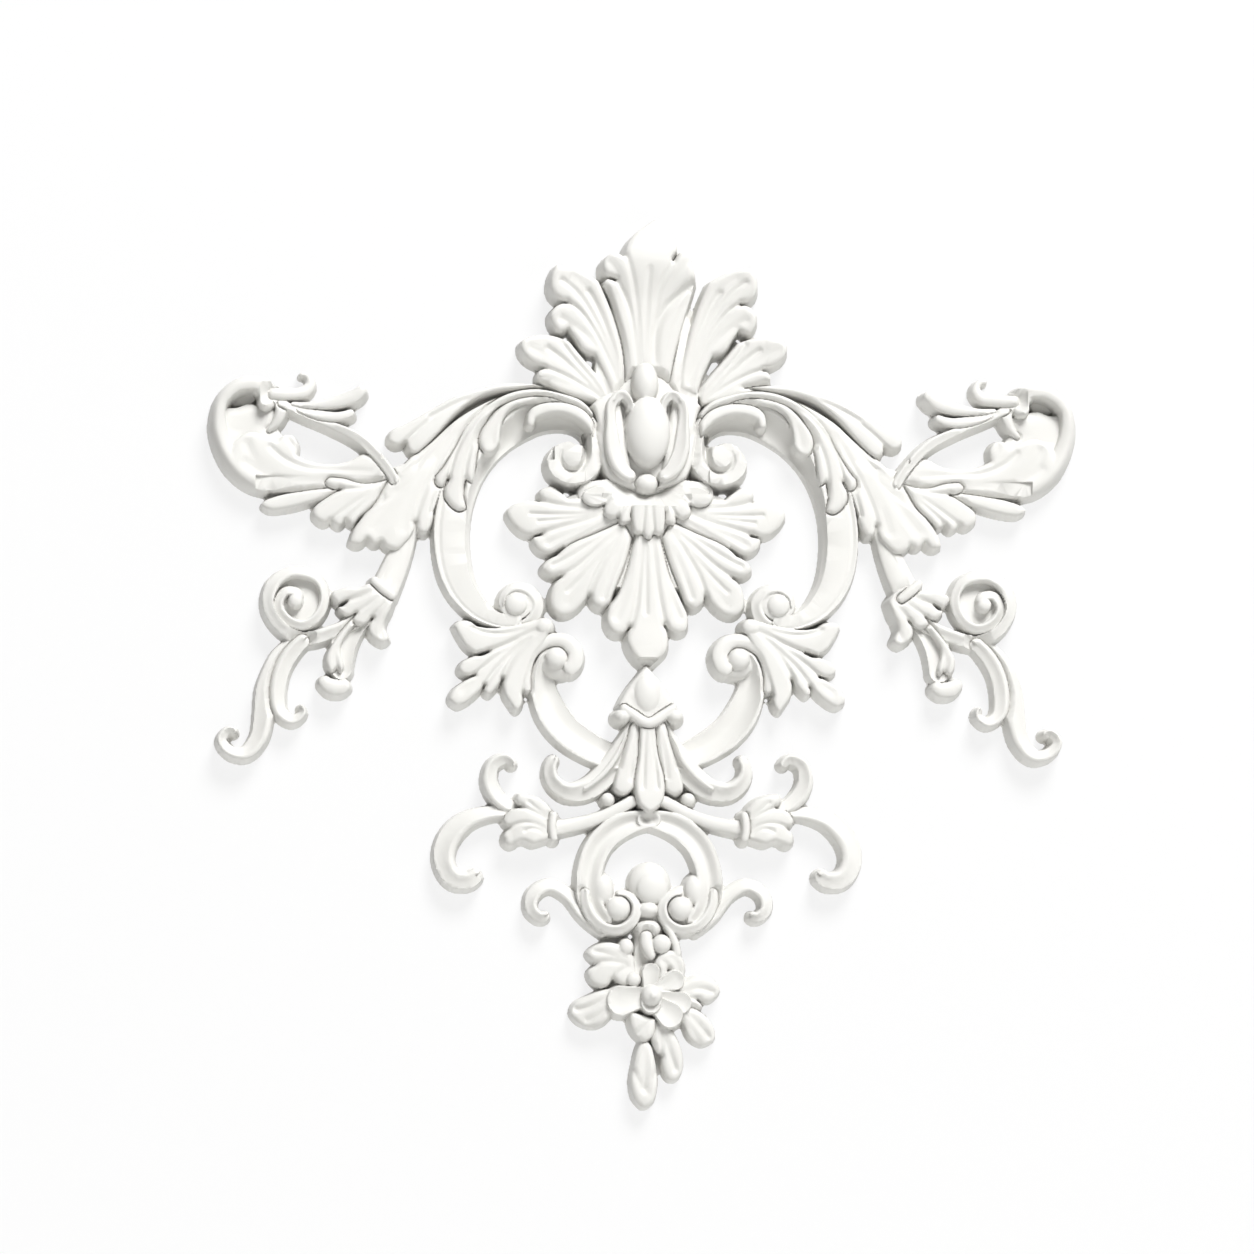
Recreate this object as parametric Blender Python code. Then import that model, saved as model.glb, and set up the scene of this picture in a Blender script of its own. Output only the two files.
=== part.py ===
"""Wall applique: a cast plaster ornament of leaves, scrolls and flowers, with a flat back.

The front faces -Y and the flat back lies on the wall plane y = 0. Lengths are metres.
"""

import bmesh
import bpy
import numpy as np

for old in list(bpy.data.objects):
    bpy.data.objects.remove(old)
parts = bpy.data.collections.new("wall_applique")
bpy.context.scene.collection.children.link(parts)

# The clay original. The ornament is one casting from a mould, so the sculptor's clay had no
# undercuts: its front is a height over an even grid on the wall plane y = 0, and every leaf and
# scroll below is laid on it in the order that the sculptor would.
WIDTH = 0.600  # over the two wings
RELIEF = 0.034  # from the wall to the front of the egg
EDGE = 0.0013  # how far the rim of each form is rounded over
DRAFT = 0.12  # slope of the side walls, which lets the mould come off
GRAIN = 0.0017  # spacing of the grid
WEB = 0.0018  # half width of a crevice that the clay fills
WEB_HIGH = 0.004  # from the wall to the top of such a web
ACROSS = 876  # modules over the two wings
TOP = 236  # modules from the middle of the egg up to the edge of the sheet
BOTTOM = -680
STEPS = 50  # relief steps from the wall to the front of the egg
SUNK = 6  # steps that each form runs on behind the wall plane, to be cut off flat
MODULE = WIDTH / ACROSS
RISE = RELIEF / STEPS
STEEP = MODULE / (DRAFT * RISE)  # steps that a side wall falls in one module
ROUND = EDGE / RISE
INSET = 1.5  # modules from a drawn edge in to where its form begins to fall
SPACING = 1.6  # modules between the points of a path


# How a surface falls across a form: u runs from -1 on the right of its path to 1 on the left, r is
# the distance from the middle of the path, also past its ends, and t runs along it.
def pad(u, r, t):
    return -(r**2)


def tube(u, r, t):
    return np.sqrt(1 - r**2) - 1


def scoop(u, r, t):
    return r**2 - 1


def rimmed(u, r, t):
    """A narrow rim on the right of the path, and a hollow floor that runs to a low left edge."""
    q = np.clip(((u + 1) / 2 - 0.14) / 0.52, 0, 1)
    lip = np.clip((u - 0.80) / 0.20, 0, 1)
    return -np.sin(q * np.pi / 2) ** 0.9 + 0.12 * lip


def coved(u, r, t):
    """A flat face on the right, with a fine line inside its edge, and a cove on the left that is
    as wide as the band at the start of the path and narrows along it."""
    start = np.interp(t, (0.0, 0.24, 0.34, 0.46, 0.6), (-0.72, -0.62, -0.1, 0.4, 0.7))
    q = np.clip((u - start) / (0.85 * (1 - start)), 0, 1)
    line = np.clip(4 * t - 1, 0, 1) * np.exp(-(((u + 0.66) / 0.10) ** 2))
    return -np.sin(q * np.pi / 2) ** 0.8 - 0.14 * line


def ridged(u, r, t):
    """A crest right of the middle, rounded over outside it and hollow inside it."""
    v = u + 0.35
    outer = (np.minimum(v, 0) / 0.65) ** 2
    inner = 1 - (1 - np.clip(v / 1.35, 0, 1)) ** 2
    return -np.where(v < 0, 0.8 * outer, inner)


def rolled(u, r, t):
    """Nearly flat on the right of the path, and rolled far down on its left."""
    return -np.where(u > 0, u**2, 0.3 * u**2)


def two_rims(u, r, t):
    return -0.5 * (1 + np.cos(np.pi * np.clip(u / 0.72, -1, 1)))


def turned_round(section):
    """The same section with its left and right exchanged."""
    return lambda u, r, t: section(-u, r, t)


def eased(values, t):
    """Evenly spaced values read at t, from 0 to 1, on a smooth curve."""
    v = np.array(values, float)
    if len(v) < 3:
        return np.interp(t, np.linspace(0, 1, len(v)), v)
    slopes = np.gradient(v)
    x = t * (len(v) - 1)
    i = np.clip(x.astype(int), 0, len(v) - 2)
    s = x - i
    return (
        (2 * s**3 - 3 * s**2 + 1) * v[i]
        + (s**3 - 2 * s**2 + s) * slopes[i]
        + (3 * s**2 - 2 * s**3) * v[i + 1]
        + (s**3 - s**2) * slopes[i + 1]
    )


def smooth_path(points):
    """Points at even spacing along a smooth curve through the given ones, and its length."""
    p = np.array(points, float)
    knots = np.concatenate([[0], np.cumsum(np.linalg.norm(np.diff(p, axis=0), axis=1) ** 0.5)])
    slopes = np.gradient(p, knots, axis=0, edge_order=min(2, len(p) - 1))
    fine = np.linspace(0, knots[-1], 24 * len(p))
    i = np.clip(np.searchsorted(knots, fine, side="right") - 1, 0, len(p) - 2)
    h = (knots[i + 1] - knots[i])[:, None]
    s = (fine - knots[i])[:, None] / h
    curve = (
        (2 * s**3 - 3 * s**2 + 1) * p[i]
        + (s**3 - 2 * s**2 + s) * h * slopes[i]
        + (3 * s**2 - 2 * s**3) * p[i + 1]
        + (s**3 - s**2) * h * slopes[i + 1]
    )
    run = np.concatenate([[0], np.cumsum(np.linalg.norm(np.diff(curve, axis=0), axis=1))])
    even = np.linspace(0, run[-1], max(4, int(run[-1] / SPACING) + 1))
    return np.stack([np.interp(even, run, curve[:, k]) for k in (0, 1)], axis=1), run[-1]


def soft_fall(depth):
    """The drop past a form's edge, where depth is the distance inside it in modules. The edge is
    rounded over, and outside it the side wall falls at its draft."""
    wall = (depth - INSET) * STEEP
    blend = np.clip(0.5 + 0.5 * wall / ROUND, 0, 1)
    return wall * (1 - blend) - ROUND * blend * (1 - blend)


class Clay:
    """The front of the original, as heights over an even grid, in steps from the wall plane."""

    def __init__(self, spacing):
        half = int((ACROSS / 2 + 12) / spacing)
        self.x = np.arange(-half, half + 1) * spacing
        self.z = np.arange(int(BOTTOM / spacing), int(TOP / spacing) + 1) * spacing
        self.high = np.full((len(self.z), len(self.x)), float(-SUNK))

    def window(self, points, margin):
        """The rows and columns that reach a margin past some points."""
        low = np.min(points, axis=0) - margin
        top = np.max(points, axis=0) + margin
        columns = slice(*np.searchsorted(self.x, (low[0], top[0])))
        rows = slice(*np.searchsorted(self.z, (low[1], top[1])))
        return rows, columns

    def near(self, line, reach, window):
        """For each grid point in the window: its distance from a line, how far along the line its
        nearest place is, from 0 to 1, and on which side it lies, 1 for the left."""
        x = self.x[window[1]]
        z = self.z[window[0]]
        far = np.full((len(z), len(x)), np.inf)
        share = np.zeros(far.shape)
        side = np.ones(far.shape)
        for k in range(len(line) - 1):
            a, b = line[k], line[k + 1]
            low = np.minimum(a, b) - reach
            top = np.maximum(a, b) + reach
            rows = slice(*np.searchsorted(z, (low[1], top[1])))
            box = (rows, slice(*np.searchsorted(x, (low[0], top[0]))))
            px = x[None, box[1]] - a[0]
            pz = z[box[0], None] - a[1]
            run = b - a
            f = np.clip((px * run[0] + pz * run[1]) / (run @ run), 0, 1)
            gone = np.hypot(px - f * run[0], pz - f * run[1])
            closer = gone < far[box]
            far[box] = np.where(closer, gone, far[box])
            share[box] = np.where(closer, (k + f) / (len(line) - 1), share[box])
            side[box] = np.where(closer, np.sign(run[0] * pz - run[1] * px), side[box])
        return far, share, side

    def inside(self, loop, window):
        """Which grid points in the window a closed line runs around."""
        x = self.x[window[1]]
        z = self.z[window[0]]
        found = np.zeros((len(z), len(x)), bool)
        for a, b in zip(loop, np.roll(loop, -1, axis=0)):
            rows = slice(*np.searchsorted(z, sorted((a[1], b[1]))))
            if rows.start < rows.stop:
                crossing = a[0] + (z[rows, None] - a[1]) * (b[0] - a[0]) / (b[1] - a[1])
                found[rows] ^= x[None, :] < crossing
        return found

    def lay(self, window, top, depth, trench, sides, axis):
        """Adds a form of the given surface, on each of the sides of the axis. A trench above 0 lays
        it over what is there, with a fine ditch of that depth along its edge. Otherwise it grows out
        of what is there."""
        form = top + soft_fall(depth)
        rows, columns = window
        count = len(self.x) + 2 * round(axis / (self.x[1] - self.x[0]))
        for side in sides:
            across = columns if side > 0 else slice(count - columns.stop, count - columns.start)
            there = self.high[rows, across][:, ::side]
            if trench > 0:
                limit = np.where(depth < 0, top - 0.2 * trench - 0.9 * depth, top - trench)
                there = np.minimum(there, limit)
            self.high[rows, across] = np.maximum(there, form)[:, ::side]

    def fill_crevices(self):
        """Webs over what is too narrow to cast: gaps in the outline under twice WEB wide."""
        radius = WEB / MODULE / (self.x[1] - self.x[0])
        solid = grown(self.high > 0, radius)
        solid = ~grown(~solid, radius)
        web = np.where(solid, WEB_HIGH / RISE, -SUNK)
        self.high = np.maximum(self.high, web)


def grown(mask, radius):
    """The mask made larger on every side by a radius in grid cells."""
    cells = int(radius)
    wide = np.pad(mask, cells)
    found = np.zeros(mask.shape, bool)
    for down in range(-cells, cells + 1):
        for across in range(-cells, cells + 1):
            if np.hypot(down, across) <= radius:
                rows = slice(cells + down, cells + down + mask.shape[0])
                columns = slice(cells + across, cells + across + mask.shape[1])
                found |= wide[rows, columns]
    return found


class Motif:
    """One figure of the ornament. Its drawing is moved by shift and lifted off the wall, and its
    left half is repeated on the right of its axis unless it is drawn whole."""

    def __init__(self, shift, whole=False, axis=0.0, lift=0.0):
        self.shift = np.array(shift, float)
        self.sides = (1,) if whole else (1, -1)
        self.axis = axis
        self.lift = lift

    def stroke(self, path, widths, heights, section=pad, drop=4.0, tip=True, tail=False, over=0.0):
        """A band along a path. Widths are half widths, heights those of its crest, and drop is how
        far its section falls, one value or several along the path."""
        line, length = smooth_path(np.array(path, float) + self.shift)
        run = np.linspace(0, length, len(line))
        first = min(widths[0], 0.45 * length) if tail else 0
        last = length - (min(widths[-1], 0.45 * length) if tip else 0)
        even = np.linspace(first, last, max(2, int((last - first) / SPACING) + 1))
        line = np.stack([np.interp(even, run, line[:, k]) for k in (0, 1)], axis=1)
        heights = self.lift + np.array(heights)
        reach = max(widths) + 1 + (max(heights) + SUNK) / STEEP
        window = clay.window(line, reach)
        far, t, side = clay.near(line, reach, window)
        t = (first + t * (last - first)) / length
        width = np.maximum(eased(widths, t), 0.4)
        r = np.minimum(far / width, 1)
        fall = eased(drop, t) if isinstance(drop, tuple) else drop
        top = eased(heights, t) + fall * section(side * r, r, t)
        clay.lay(window, top, np.maximum(width - far, -reach), over, self.sides, self.axis)

    def leaf(self, spans, spine, heights, veins=(), pillow=7.0, drop=4.5, over=0.0):
        """A leaf with a drawn outline, given as the lobes between its notches. Its surface follows
        the heights along its spine, rounds down to its edge, and is cut by veins: each of them is
        (path, half width, depth), deepest at the start of its path."""
        heights = self.lift + np.array(heights)
        edge = np.concatenate([smooth_path(span)[0] for span in spans]) + self.shift
        loop = edge[np.linalg.norm(edge - np.roll(edge, 1, axis=0), axis=1) > 1e-6]
        ring = np.concatenate([loop, loop[:1]])
        reach = max(pillow, 1 + (max(heights) + SUNK) / STEEP)
        window = clay.window(ring, reach)
        far, _, _ = clay.near(ring, reach, window)
        depth = np.where(clay.inside(loop, window), np.minimum(far, pillow), -np.minimum(far, reach))
        bones, _ = smooth_path(np.array(spine, float) + self.shift)
        _, t, _ = clay.near(bones, ACROSS, window)
        top = eased(heights, t) - drop * (1 - np.clip(depth / pillow, 0, 1)) ** 2
        for path, width, cut in veins:
            line, _ = smooth_path(np.array(path, float) + self.shift)
            away, along, _ = clay.near(line, 3 * width, window)
            top = top - cut * (1 - 0.75 * along) * np.exp(-((np.minimum(away, 9 * width) / width) ** 2))
        clay.lay(window, top, depth, over, self.sides, self.axis)

    def ball(self, x, z, wide, tall, height, depth=None):
        """An egg or knob whose front stands at height, and whose rim is depth behind that."""
        depth = depth or wide
        height = height + self.lift
        spot = np.array((x, z)) + self.shift
        reach = max(wide, tall) + (height + SUNK) / STEEP
        window = clay.window(spot[None, :], reach)
        across = (clay.x[None, window[1]] - spot[0]) / wide
        up = (clay.z[window[0], None] - spot[1]) / tall
        r = np.hypot(across, up)
        dome = height - depth + depth * np.sqrt(np.maximum(1 - r**2, 0))
        top = np.where(r < 1, dome, dome - (r - 1) * min(wide, tall) * STEEP)
        clay.lay(window, top, np.full(top.shape, 9.0), 0, self.sides, self.axis)


clay = Clay(GRAIN / MODULE)

# The crest of acanthus above the egg. It is modelled as a bed that the leaves grow from, two leaves
# on each side with curled tips, and a middle leaf whose head rolls forward over the front.
side = Motif((0, -5), axis=8)
side.leaf(
    [
        [(-34, 50), (-48, 68), (-62, 84), (-76, 101)],
        [(-76, 101), (-88, 105), (-98, 107), (-112, 106), (-124, 101), (-127, 97)],
        [(-127, 97), (-126, 89), (-119, 80), (-103, 73)],
        [(-103, 73), (-109, 69), (-110, 61), (-98, 54)],
        [(-98, 54), (-80, 46), (-60, 40), (-40, 36)],
        [(-40, 36), (-34, 50)],
    ],
    [(-38, 46), (-70, 64), (-96, 82), (-122, 95)],
    (25, 27, 30, 36),
    [
        ([(-103, 73), (-88, 68), (-66, 57), (-44, 42)], 2.5, 3.5),
        ([(-98, 92), (-80, 79), (-60, 60), (-44, 43)], 3, 3),
        ([(-84, 98), (-70, 80), (-54, 62), (-42, 46)], 2.5, 3),
        ([(-116, 92), (-95, 82), (-74, 68)], 5, 1.5),
        ([(-100, 60), (-80, 56), (-60, 47)], 4.5, 1.5),
    ],
)
side.leaf(
    [
        [(-16, 52), (-22, 90), (-33, 130), (-47, 162)],
        [(-47, 162), (-56, 167), (-70, 173), (-82, 175), (-91, 177)],
        [(-91, 177), (-96, 166), (-97, 154), (-92, 144), (-80, 139)],
        [(-80, 139), (-90, 136), (-97, 127), (-95, 116), (-88, 108), (-78, 112)],
        [(-78, 112), (-72, 102), (-64, 90), (-52, 86)],
        [(-52, 86), (-46, 74), (-41, 62), (-36, 46)],
        [(-36, 46), (-16, 52)],
    ],
    [(-26, 52), (-40, 95), (-60, 135), (-86, 170)],
    (26, 29, 33, 41),
    [
        ([(-80, 139), (-68, 132), (-54, 114), (-40, 88), (-28, 58)], 2.5, 3.5),
        ([(-84, 160), (-68, 147), (-50, 120), (-36, 90), (-26, 60)], 3, 3),
        ([(-58, 150), (-46, 128), (-34, 98), (-24, 66)], 3, 3),
        ([(-84, 122), (-68, 112), (-52, 98), (-36, 72)], 4, 2),
        ([(-74, 164), (-58, 150), (-44, 124)], 6, 2),
    ],
    over=5,
)
middle = Motif((-3, -5), whole=True)
middle.stroke([(5, 40), (5, 100), (5, 140)], (52, 52, 34), (25, 25, 22), pad, 3)
middle.leaf(
    [
        [(-18, 60), (-20, 90), (-25, 114), (-34, 142), (-41, 157), (-37, 163), (-28, 162)],
        [(-28, 162), (-40, 167), (-41, 180), (-32, 189), (-20, 186)],
        [(-20, 186), (-16, 199), (-8, 210), (3, 219), (15, 226), (26, 216), (34, 202), (35, 190), (30, 182)],
        [(30, 182), (38, 191), (46, 188), (51, 176), (54, 162)],
        [(54, 162), (50, 146), (42, 120), (34, 90), (28, 60)],
        [(28, 60), (-18, 60)],
    ],
    [(5, 60), (5, 110), (6, 155), (8, 185), (12, 222)],
    (28, 31, 35, 45, 38),
    [
        ([(-28, 162), (-14, 134), (-8, 100), (-6, 72)], 2.5, 3),
        ([(50, 158), (34, 145), (22, 132), (14, 112), (13, 78)], 4, 6),
        ([(48, 150), (38, 128), (30, 100), (25, 76)], 3, 2.5),
        ([(-36, 152), (-26, 124), (-18, 96), (-14, 70)], 2.5, 3),
        ([(-17, 184), (-8, 148), (-4, 105), (-3, 78)], 3, 2.5),
        ([(31, 180), (16, 150), (11, 110), (10, 80)], 3, 2.5),
        ([(6, 172), (4, 140), (3, 90)], 3, 2),
        ([(-34, 178), (-22, 160), (-14, 130)], 4.5, 2),
        ([(44, 178), (32, 162), (22, 140)], 5, 2),
    ],
    drop=5,
    over=5,
)

# The two C scrolls that frame the middle. Each is a broad band with a raised outer rim: at the top
# it is hollowed deep under its hood, and it ends in a big volute above and a small one below.
side = Motif((-2, -4))
side.stroke(
    [(-50, -6), (-58, 12), (-72, 22), (-95, 26), (-120, 21), (-150, 2), (-176, -32), (-190, -72),
     (-192, -112), (-184, -146), (-166, -171), (-144, -183), (-122, -182)],
    (9, 13, 17, 20, 20, 19, 19, 19, 19, 18, 15, 10, 7),
    (36, 36, 36, 35, 33, 30, 28, 27, 26, 26, 26, 27, 29),
    coved,
    (22, 24, 24, 23, 22, 19, 16, 12, 9, 8, 8, 8, 8),
)
side.stroke(
    [(-126, -188), (-112, -181), (-107, -166), (-116, -153), (-130, -150), (-141, -158), (-142, -170)],
    (5, 7, 7, 7, 6, 5, 3), (27, 28, 29, 30, 31, 31, 31), turned_round(ridged), 4,
)
side.ball(-129, -165, 17, 17, 29, 2)
side.ball(-129, -167, 11, 11, 34, 5)
side.leaf(
    [
        [(-75, -3), (-91, -9), (-99, -24), (-94, -39), (-78, -48), (-60, -46), (-47, -36), (-41, -18),
         (-46, 4), (-56, 18)],
        [(-56, 18), (-58, 6), (-63, -6), (-75, -3)],
    ],
    [(-50, 6), (-50, -30), (-75, -40), (-90, -20), (-76, -8)],
    (37, 38, 39, 40, 41),
    [
        ([(-60, 4), (-58, -10), (-59, -22), (-66, -32), (-76, -33), (-84, -25), (-83, -14)], 3.5, 20),
        ([(-60, 8), (-60, -4), (-60, -16)], 5, 12),
    ],
    pillow=6, over=4,
)
side.ball(-73, -20, 9, 9, 44, 6)

# The palmette that hangs below the egg: five long leaves with scalloped lobes on a bed, and a
# collar of small leaves in front of their roots.
middle = Motif((-2, -4), whole=True)
middle.stroke([(-84, -76), (1, -86), (86, -76)], (20, 42, 20), (26, 29, 26), pad, 2, tail=True)
middle.stroke([(-66, -54), (1, -58), (68, -54)], (12, 22, 12), (29, 33, 29), pad, 2, tail=True)
middle.stroke([(-52, -126), (1, -118), (54, -126)], (22, 38, 22), (27, 29, 27), pad, 2, tail=True)
middle.stroke([(2, -120), (2, -182)], (26, 16), (28, 26), pad, 2)
side = Motif((-2, -4), lift=4)
side.stroke([(-30, -84), (-82, -108)], (8, 6), (26, 25), pad, 1)
side.leaf(
    [
        [(-38, -58), (-60, -59), (-76, -60)],
        [(-76, -60), (-84, -53), (-95, -47), (-106, -53), (-105, -62)],
        [(-105, -62), (-120, -62), (-132, -66), (-139, -75), (-131, -90), (-119, -98), (-103, -96)],
        [(-103, -96), (-113, -101), (-109, -112), (-98, -117), (-87, -113)],
        [(-87, -113), (-70, -104), (-50, -94), (-32, -84)],
        [(-32, -84), (-38, -58)],
    ],
    [(-35, -70), (-80, -77), (-115, -80), (-137, -80)],
    (27, 27, 25, 22),
    [
        ([(-103, -96), (-84, -90), (-60, -83), (-42, -76)], 3, 3.5),
        ([(-105, -62), (-88, -67), (-60, -70)], 3, 3.5),
        ([(-114, -76), (-90, -77), (-60, -76)], 2, 2.5),
        ([(-106, -84), (-86, -82), (-60, -79)], 2, 2),
        ([(-96, -106), (-80, -98), (-62, -90)], 4, 2),
    ],
)
side.leaf(
    [
        [(-22, -82), (-50, -95), (-75, -106), (-88, -117)],
        [(-88, -117), (-100, -124), (-104, -132), (-97, -139), (-84, -139)],
        [(-84, -139), (-92, -147), (-96, -158), (-95, -170), (-86, -179), (-73, -177), (-56, -158)],
        [(-56, -158), (-53, -167), (-45, -172), (-37, -168), (-33, -161)],
        [(-33, -161), (-28, -148), (-20, -128), (-12, -100)],
        [(-12, -100), (-22, -82)],
    ],
    [(-18, -85), (-40, -110), (-62, -140), (-82, -172)],
    (29, 29, 28, 25),
    [
        ([(-84, -139), (-66, -128), (-46, -110), (-28, -94)], 3, 3.5),
        ([(-56, -158), (-50, -140), (-38, -118), (-24, -96)], 3, 3.5),
        ([(-92, -128), (-72, -118), (-48, -102), (-32, -92)], 2.5, 2.5),
        ([(-78, -154), (-60, -136), (-42, -114)], 2.5, 2),
        ([(-42, -160), (-36, -142), (-24, -112)], 3, 2),
        ([(-76, -166), (-62, -146), (-46, -124)], 5.5, 1.5),
    ],
    over=4,
)
middle = Motif((-2, -4), whole=True, lift=4)
middle.leaf(
    [
        [(-8, -85), (-14, -110), (-19, -132), (-29, -158), (-38, -171), (-40, -185), (-34, -196),
         (-25, -198), (-16, -190)],
        [(-16, -190), (-20, -203), (-15, -217), (-7, -226), (2, -231), (12, -224), (21, -214), (23, -201),
         (19, -188)],
        [(19, -188), (25, -194), (33, -197), (41, -193), (43, -180), (35, -160), (25, -138), (18, -110),
         (12, -85)],
        [(12, -85), (-8, -85)],
    ],
    [(2, -85), (2, -140), (2, -190), (2, -228)],
    (30, 30, 30, 33),
    [
        ([(-16, -190), (-10, -168), (-6, -135), (-3, -100)], 3, 3.5),
        ([(19, -188), (14, -164), (10, -132), (7, -100)], 3, 3.5),
        ([(0, -176), (0, -150), (1, -110)], 2.5, 2.5),
        ([(-30, -180), (-20, -155), (-11, -120)], 4, 2),
        ([(34, -180), (25, -156), (15, -122)], 4, 2),
    ],
    over=4,
)
side.leaf(
    [
        [(-18, -42), (-32, -48), (-48, -48), (-62, -54)],
        [(-62, -54), (-64, -62), (-56, -69), (-41, -68)],
        [(-41, -68), (-42, -77), (-35, -82), (-27, -80)],
        [(-27, -80), (-25, -88), (-18, -87), (-8, -78), (-6, -50)],
        [(-6, -50), (-18, -42)],
    ],
    [(-12, -50), (-28, -58), (-52, -62)],
    (37, 36, 34),
    [
        ([(-40, -62), (-30, -54), (-20, -51)], 3, 5),
        ([(-41, -68), (-28, -60), (-16, -54)], 2, 3),
        ([(-27, -80), (-20, -68), (-12, -56)], 2, 3),
    ],
    pillow=5, over=5,
)
middle.leaf(
    [
        [(-10, -44), (-14, -62), (-15, -84), (-12, -96), (-4, -98)],
        [(-4, -98), (3, -103), (8, -98)],
        [(8, -98), (17, -97), (20, -84), (19, -62), (15, -44)],
        [(15, -44), (-10, -44)],
    ],
    [(3, -44), (3, -75), (3, -100)],
    (39, 39, 37),
    [([(-4, -98), (-2, -75), (0, -52)], 2, 3), ([(8, -98), (6, -75), (5, -52)], 2, 3)],
    pillow=5, over=5,
)

# The egg in its frame. Two hooked bands rise on each side of it and curl in over its top, an outer
# shell lies behind them, and there is a bud above the egg and a berry below.
middle = Motif((-4, -6), whole=True)
middle.stroke([(5, 62), (5, 0), (5, -46)], (24, 38, 22), (25, 26, 24), pad, 4, tail=True, over=2)
side = Motif((-4, -6))
side.leaf(
    [
        [(-22, 52), (-40, 46), (-52, 36)],
        [(-52, 36), (-48, 26), (-46, 16), (-47, 6)],
        [(-47, 6), (-44, -8), (-42, -24), (-36, -38)],
        [(-36, -38), (-20, -46), (-6, -48)],
        [(-6, -48), (-14, -10), (-22, 52)],
    ],
    [(-30, 48), (-34, 0), (-16, -44)],
    (32, 34, 31),
    [([(-46, 10), (-38, -4), (-34, -26)], 4, 2.5)],
    pillow=5, over=1,
)
side.stroke(
    [(-14, 27), (-13, 36), (-21, 45), (-31, 36), (-32, 12), (-29, -14), (-20, -31), (-8, -38)],
    (4, 5, 6, 6, 8, 9, 9, 6), (40, 42, 43, 43, 43, 42, 41, 39), ridged, 4, tail=True, over=2,
)
middle.stroke([(5, 20), (5, -16)], (24, 24), (36, 34), pad, 2, tail=True)
side.stroke([(-14, 27), (-13, 36), (-21, 45), (-30, 36)], (4, 5, 6, 6), (40, 42, 43, 43), ridged, tail=True)
middle.ball(5, 9, 22, 35, 50, 15)
middle.ball(3, 58, 13, 21, 43)
middle.ball(4, -43, 11, 10, 36, 9)

# The wings. A leaf runs out to each end and rolls up there into a hood, a thin stem closes the loop
# above it, and two sprigs stand on the stem.
side = Motif((-2, -3), lift=6)
side.stroke([(-416, 36), (-402, 42), (-386, 38)], (12, 12, 12), (8, 8, 10), pad, 1, tail=True)
side.stroke([(-236, -40), (-268, -50), (-300, -56)], (14, 14, 12), (24, 23, 20), pad, 2)
side.stroke([(-258, -56), (-284, -78)], (12, 9), (23, 20), pad, 2)
side.leaf(
    [
        [(-424, 31), (-408, 29), (-394, 33), (-380, 30), (-366, 26)],
        [(-366, 26), (-364, 8), (-352, -10), (-350, -40), (-390, -48)],
        [(-390, -48), (-412, -36), (-424, -4), (-424, 31)],
    ],
    [(-400, 28), (-402, 5), (-390, -30)],
    (19, 18, 19),
    pillow=12, drop=3,
)
side.stroke(
    [(-372, -54), (-391, -46), (-408, -30), (-420, -10), (-425, 12), (-421, 34), (-406, 48), (-388, 51),
     (-370, 46)],
    (6, 10, 12, 11, 10, 8, 8, 8, 8), (20, 23, 25, 26, 28, 31, 33, 33, 30), rolled,
    (8, 13, 17, 17, 16, 13, 11, 8, 5), tail=True,
)
side.stroke([(-384, 47), (-377, 40), (-377, 32), (-382, 28)], (8, 9, 9, 7), (31, 32, 33, 33), pad, 5)
side.stroke([(-368, 42), (-362, 30), (-365, 16), (-376, 4)], (8, 7, 6, 3), (31, 27, 24, 20), pad, 4, over=2)
side.leaf(
    [
        [(-414, -14), (-402, 0), (-390, 4), (-378, 1), (-366, -4)],
        [(-366, -4), (-358, 2), (-350, 1), (-344, -7), (-345, -19)],
        [(-345, -19), (-330, -25), (-310, -27), (-295, -24), (-280, -17), (-266, -22), (-248, -38)],
        [(-248, -38), (-275, -51), (-310, -54), (-350, -57), (-378, -56), (-400, -46), (-414, -28),
         (-414, -14)],
    ],
    [(-250, -38), (-300, -40), (-350, -35), (-404, -25)],
    (24, 21, 21, 25),
    [
        ([(-372, -12), (-358, -24), (-338, -32), (-308, -34), (-272, -36)], 3, 2.5),
        ([(-354, -4), (-346, -14), (-328, -26)], 3, 2.5),
        ([(-396, -28), (-370, -42), (-325, -46), (-275, -42)], 5, 2),
        ([(-396, -10), (-388, -24), (-370, -34)], 5, 2),
    ],
)
side.leaf(
    [
        [(-264, -46), (-300, -50), (-335, -54), (-360, -58), (-376, -63)],
        [(-376, -63), (-382, -70), (-374, -76), (-358, -75), (-335, -69)],
        [(-335, -69), (-310, -63), (-280, -57), (-264, -52)],
        [(-264, -52), (-264, -46)],
    ],
    [(-268, -50), (-310, -57), (-374, -70)],
    (22, 21, 19),
    pillow=5, over=3,
)
side.leaf(
    [
        [(-254, -42), (-280, -47), (-300, -42), (-314, -41)],
        [(-314, -41), (-319, -48), (-312, -54), (-304, -54)],
        [(-304, -54), (-318, -62), (-330, -72), (-331, -81), (-321, -89), (-313, -86)],
        [(-313, -86), (-305, -92), (-298, -86)],
        [(-298, -86), (-290, -90), (-284, -83), (-272, -72), (-266, -64)],
        [(-266, -64), (-254, -42)],
    ],
    [(-258, -48), (-285, -62), (-322, -80)],
    (25, 24, 22),
    [
        ([(-304, -54), (-284, -53), (-264, -49)], 2.5, 3),
        ([(-313, -86), (-292, -70), (-268, -54)], 2.5, 2.5),
        ([(-298, -86), (-284, -72), (-264, -56)], 2.5, 2.5),
    ],
    over=4,
)
side.stroke(
    [(-250, -44), (-262, -26), (-284, -4), (-312, 10), (-338, 21), (-366, 34)],
    (6, 6, 6, 5, 5, 5), (26, 27, 27, 26, 26, 28), ridged, 3, over=4,
)
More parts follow.
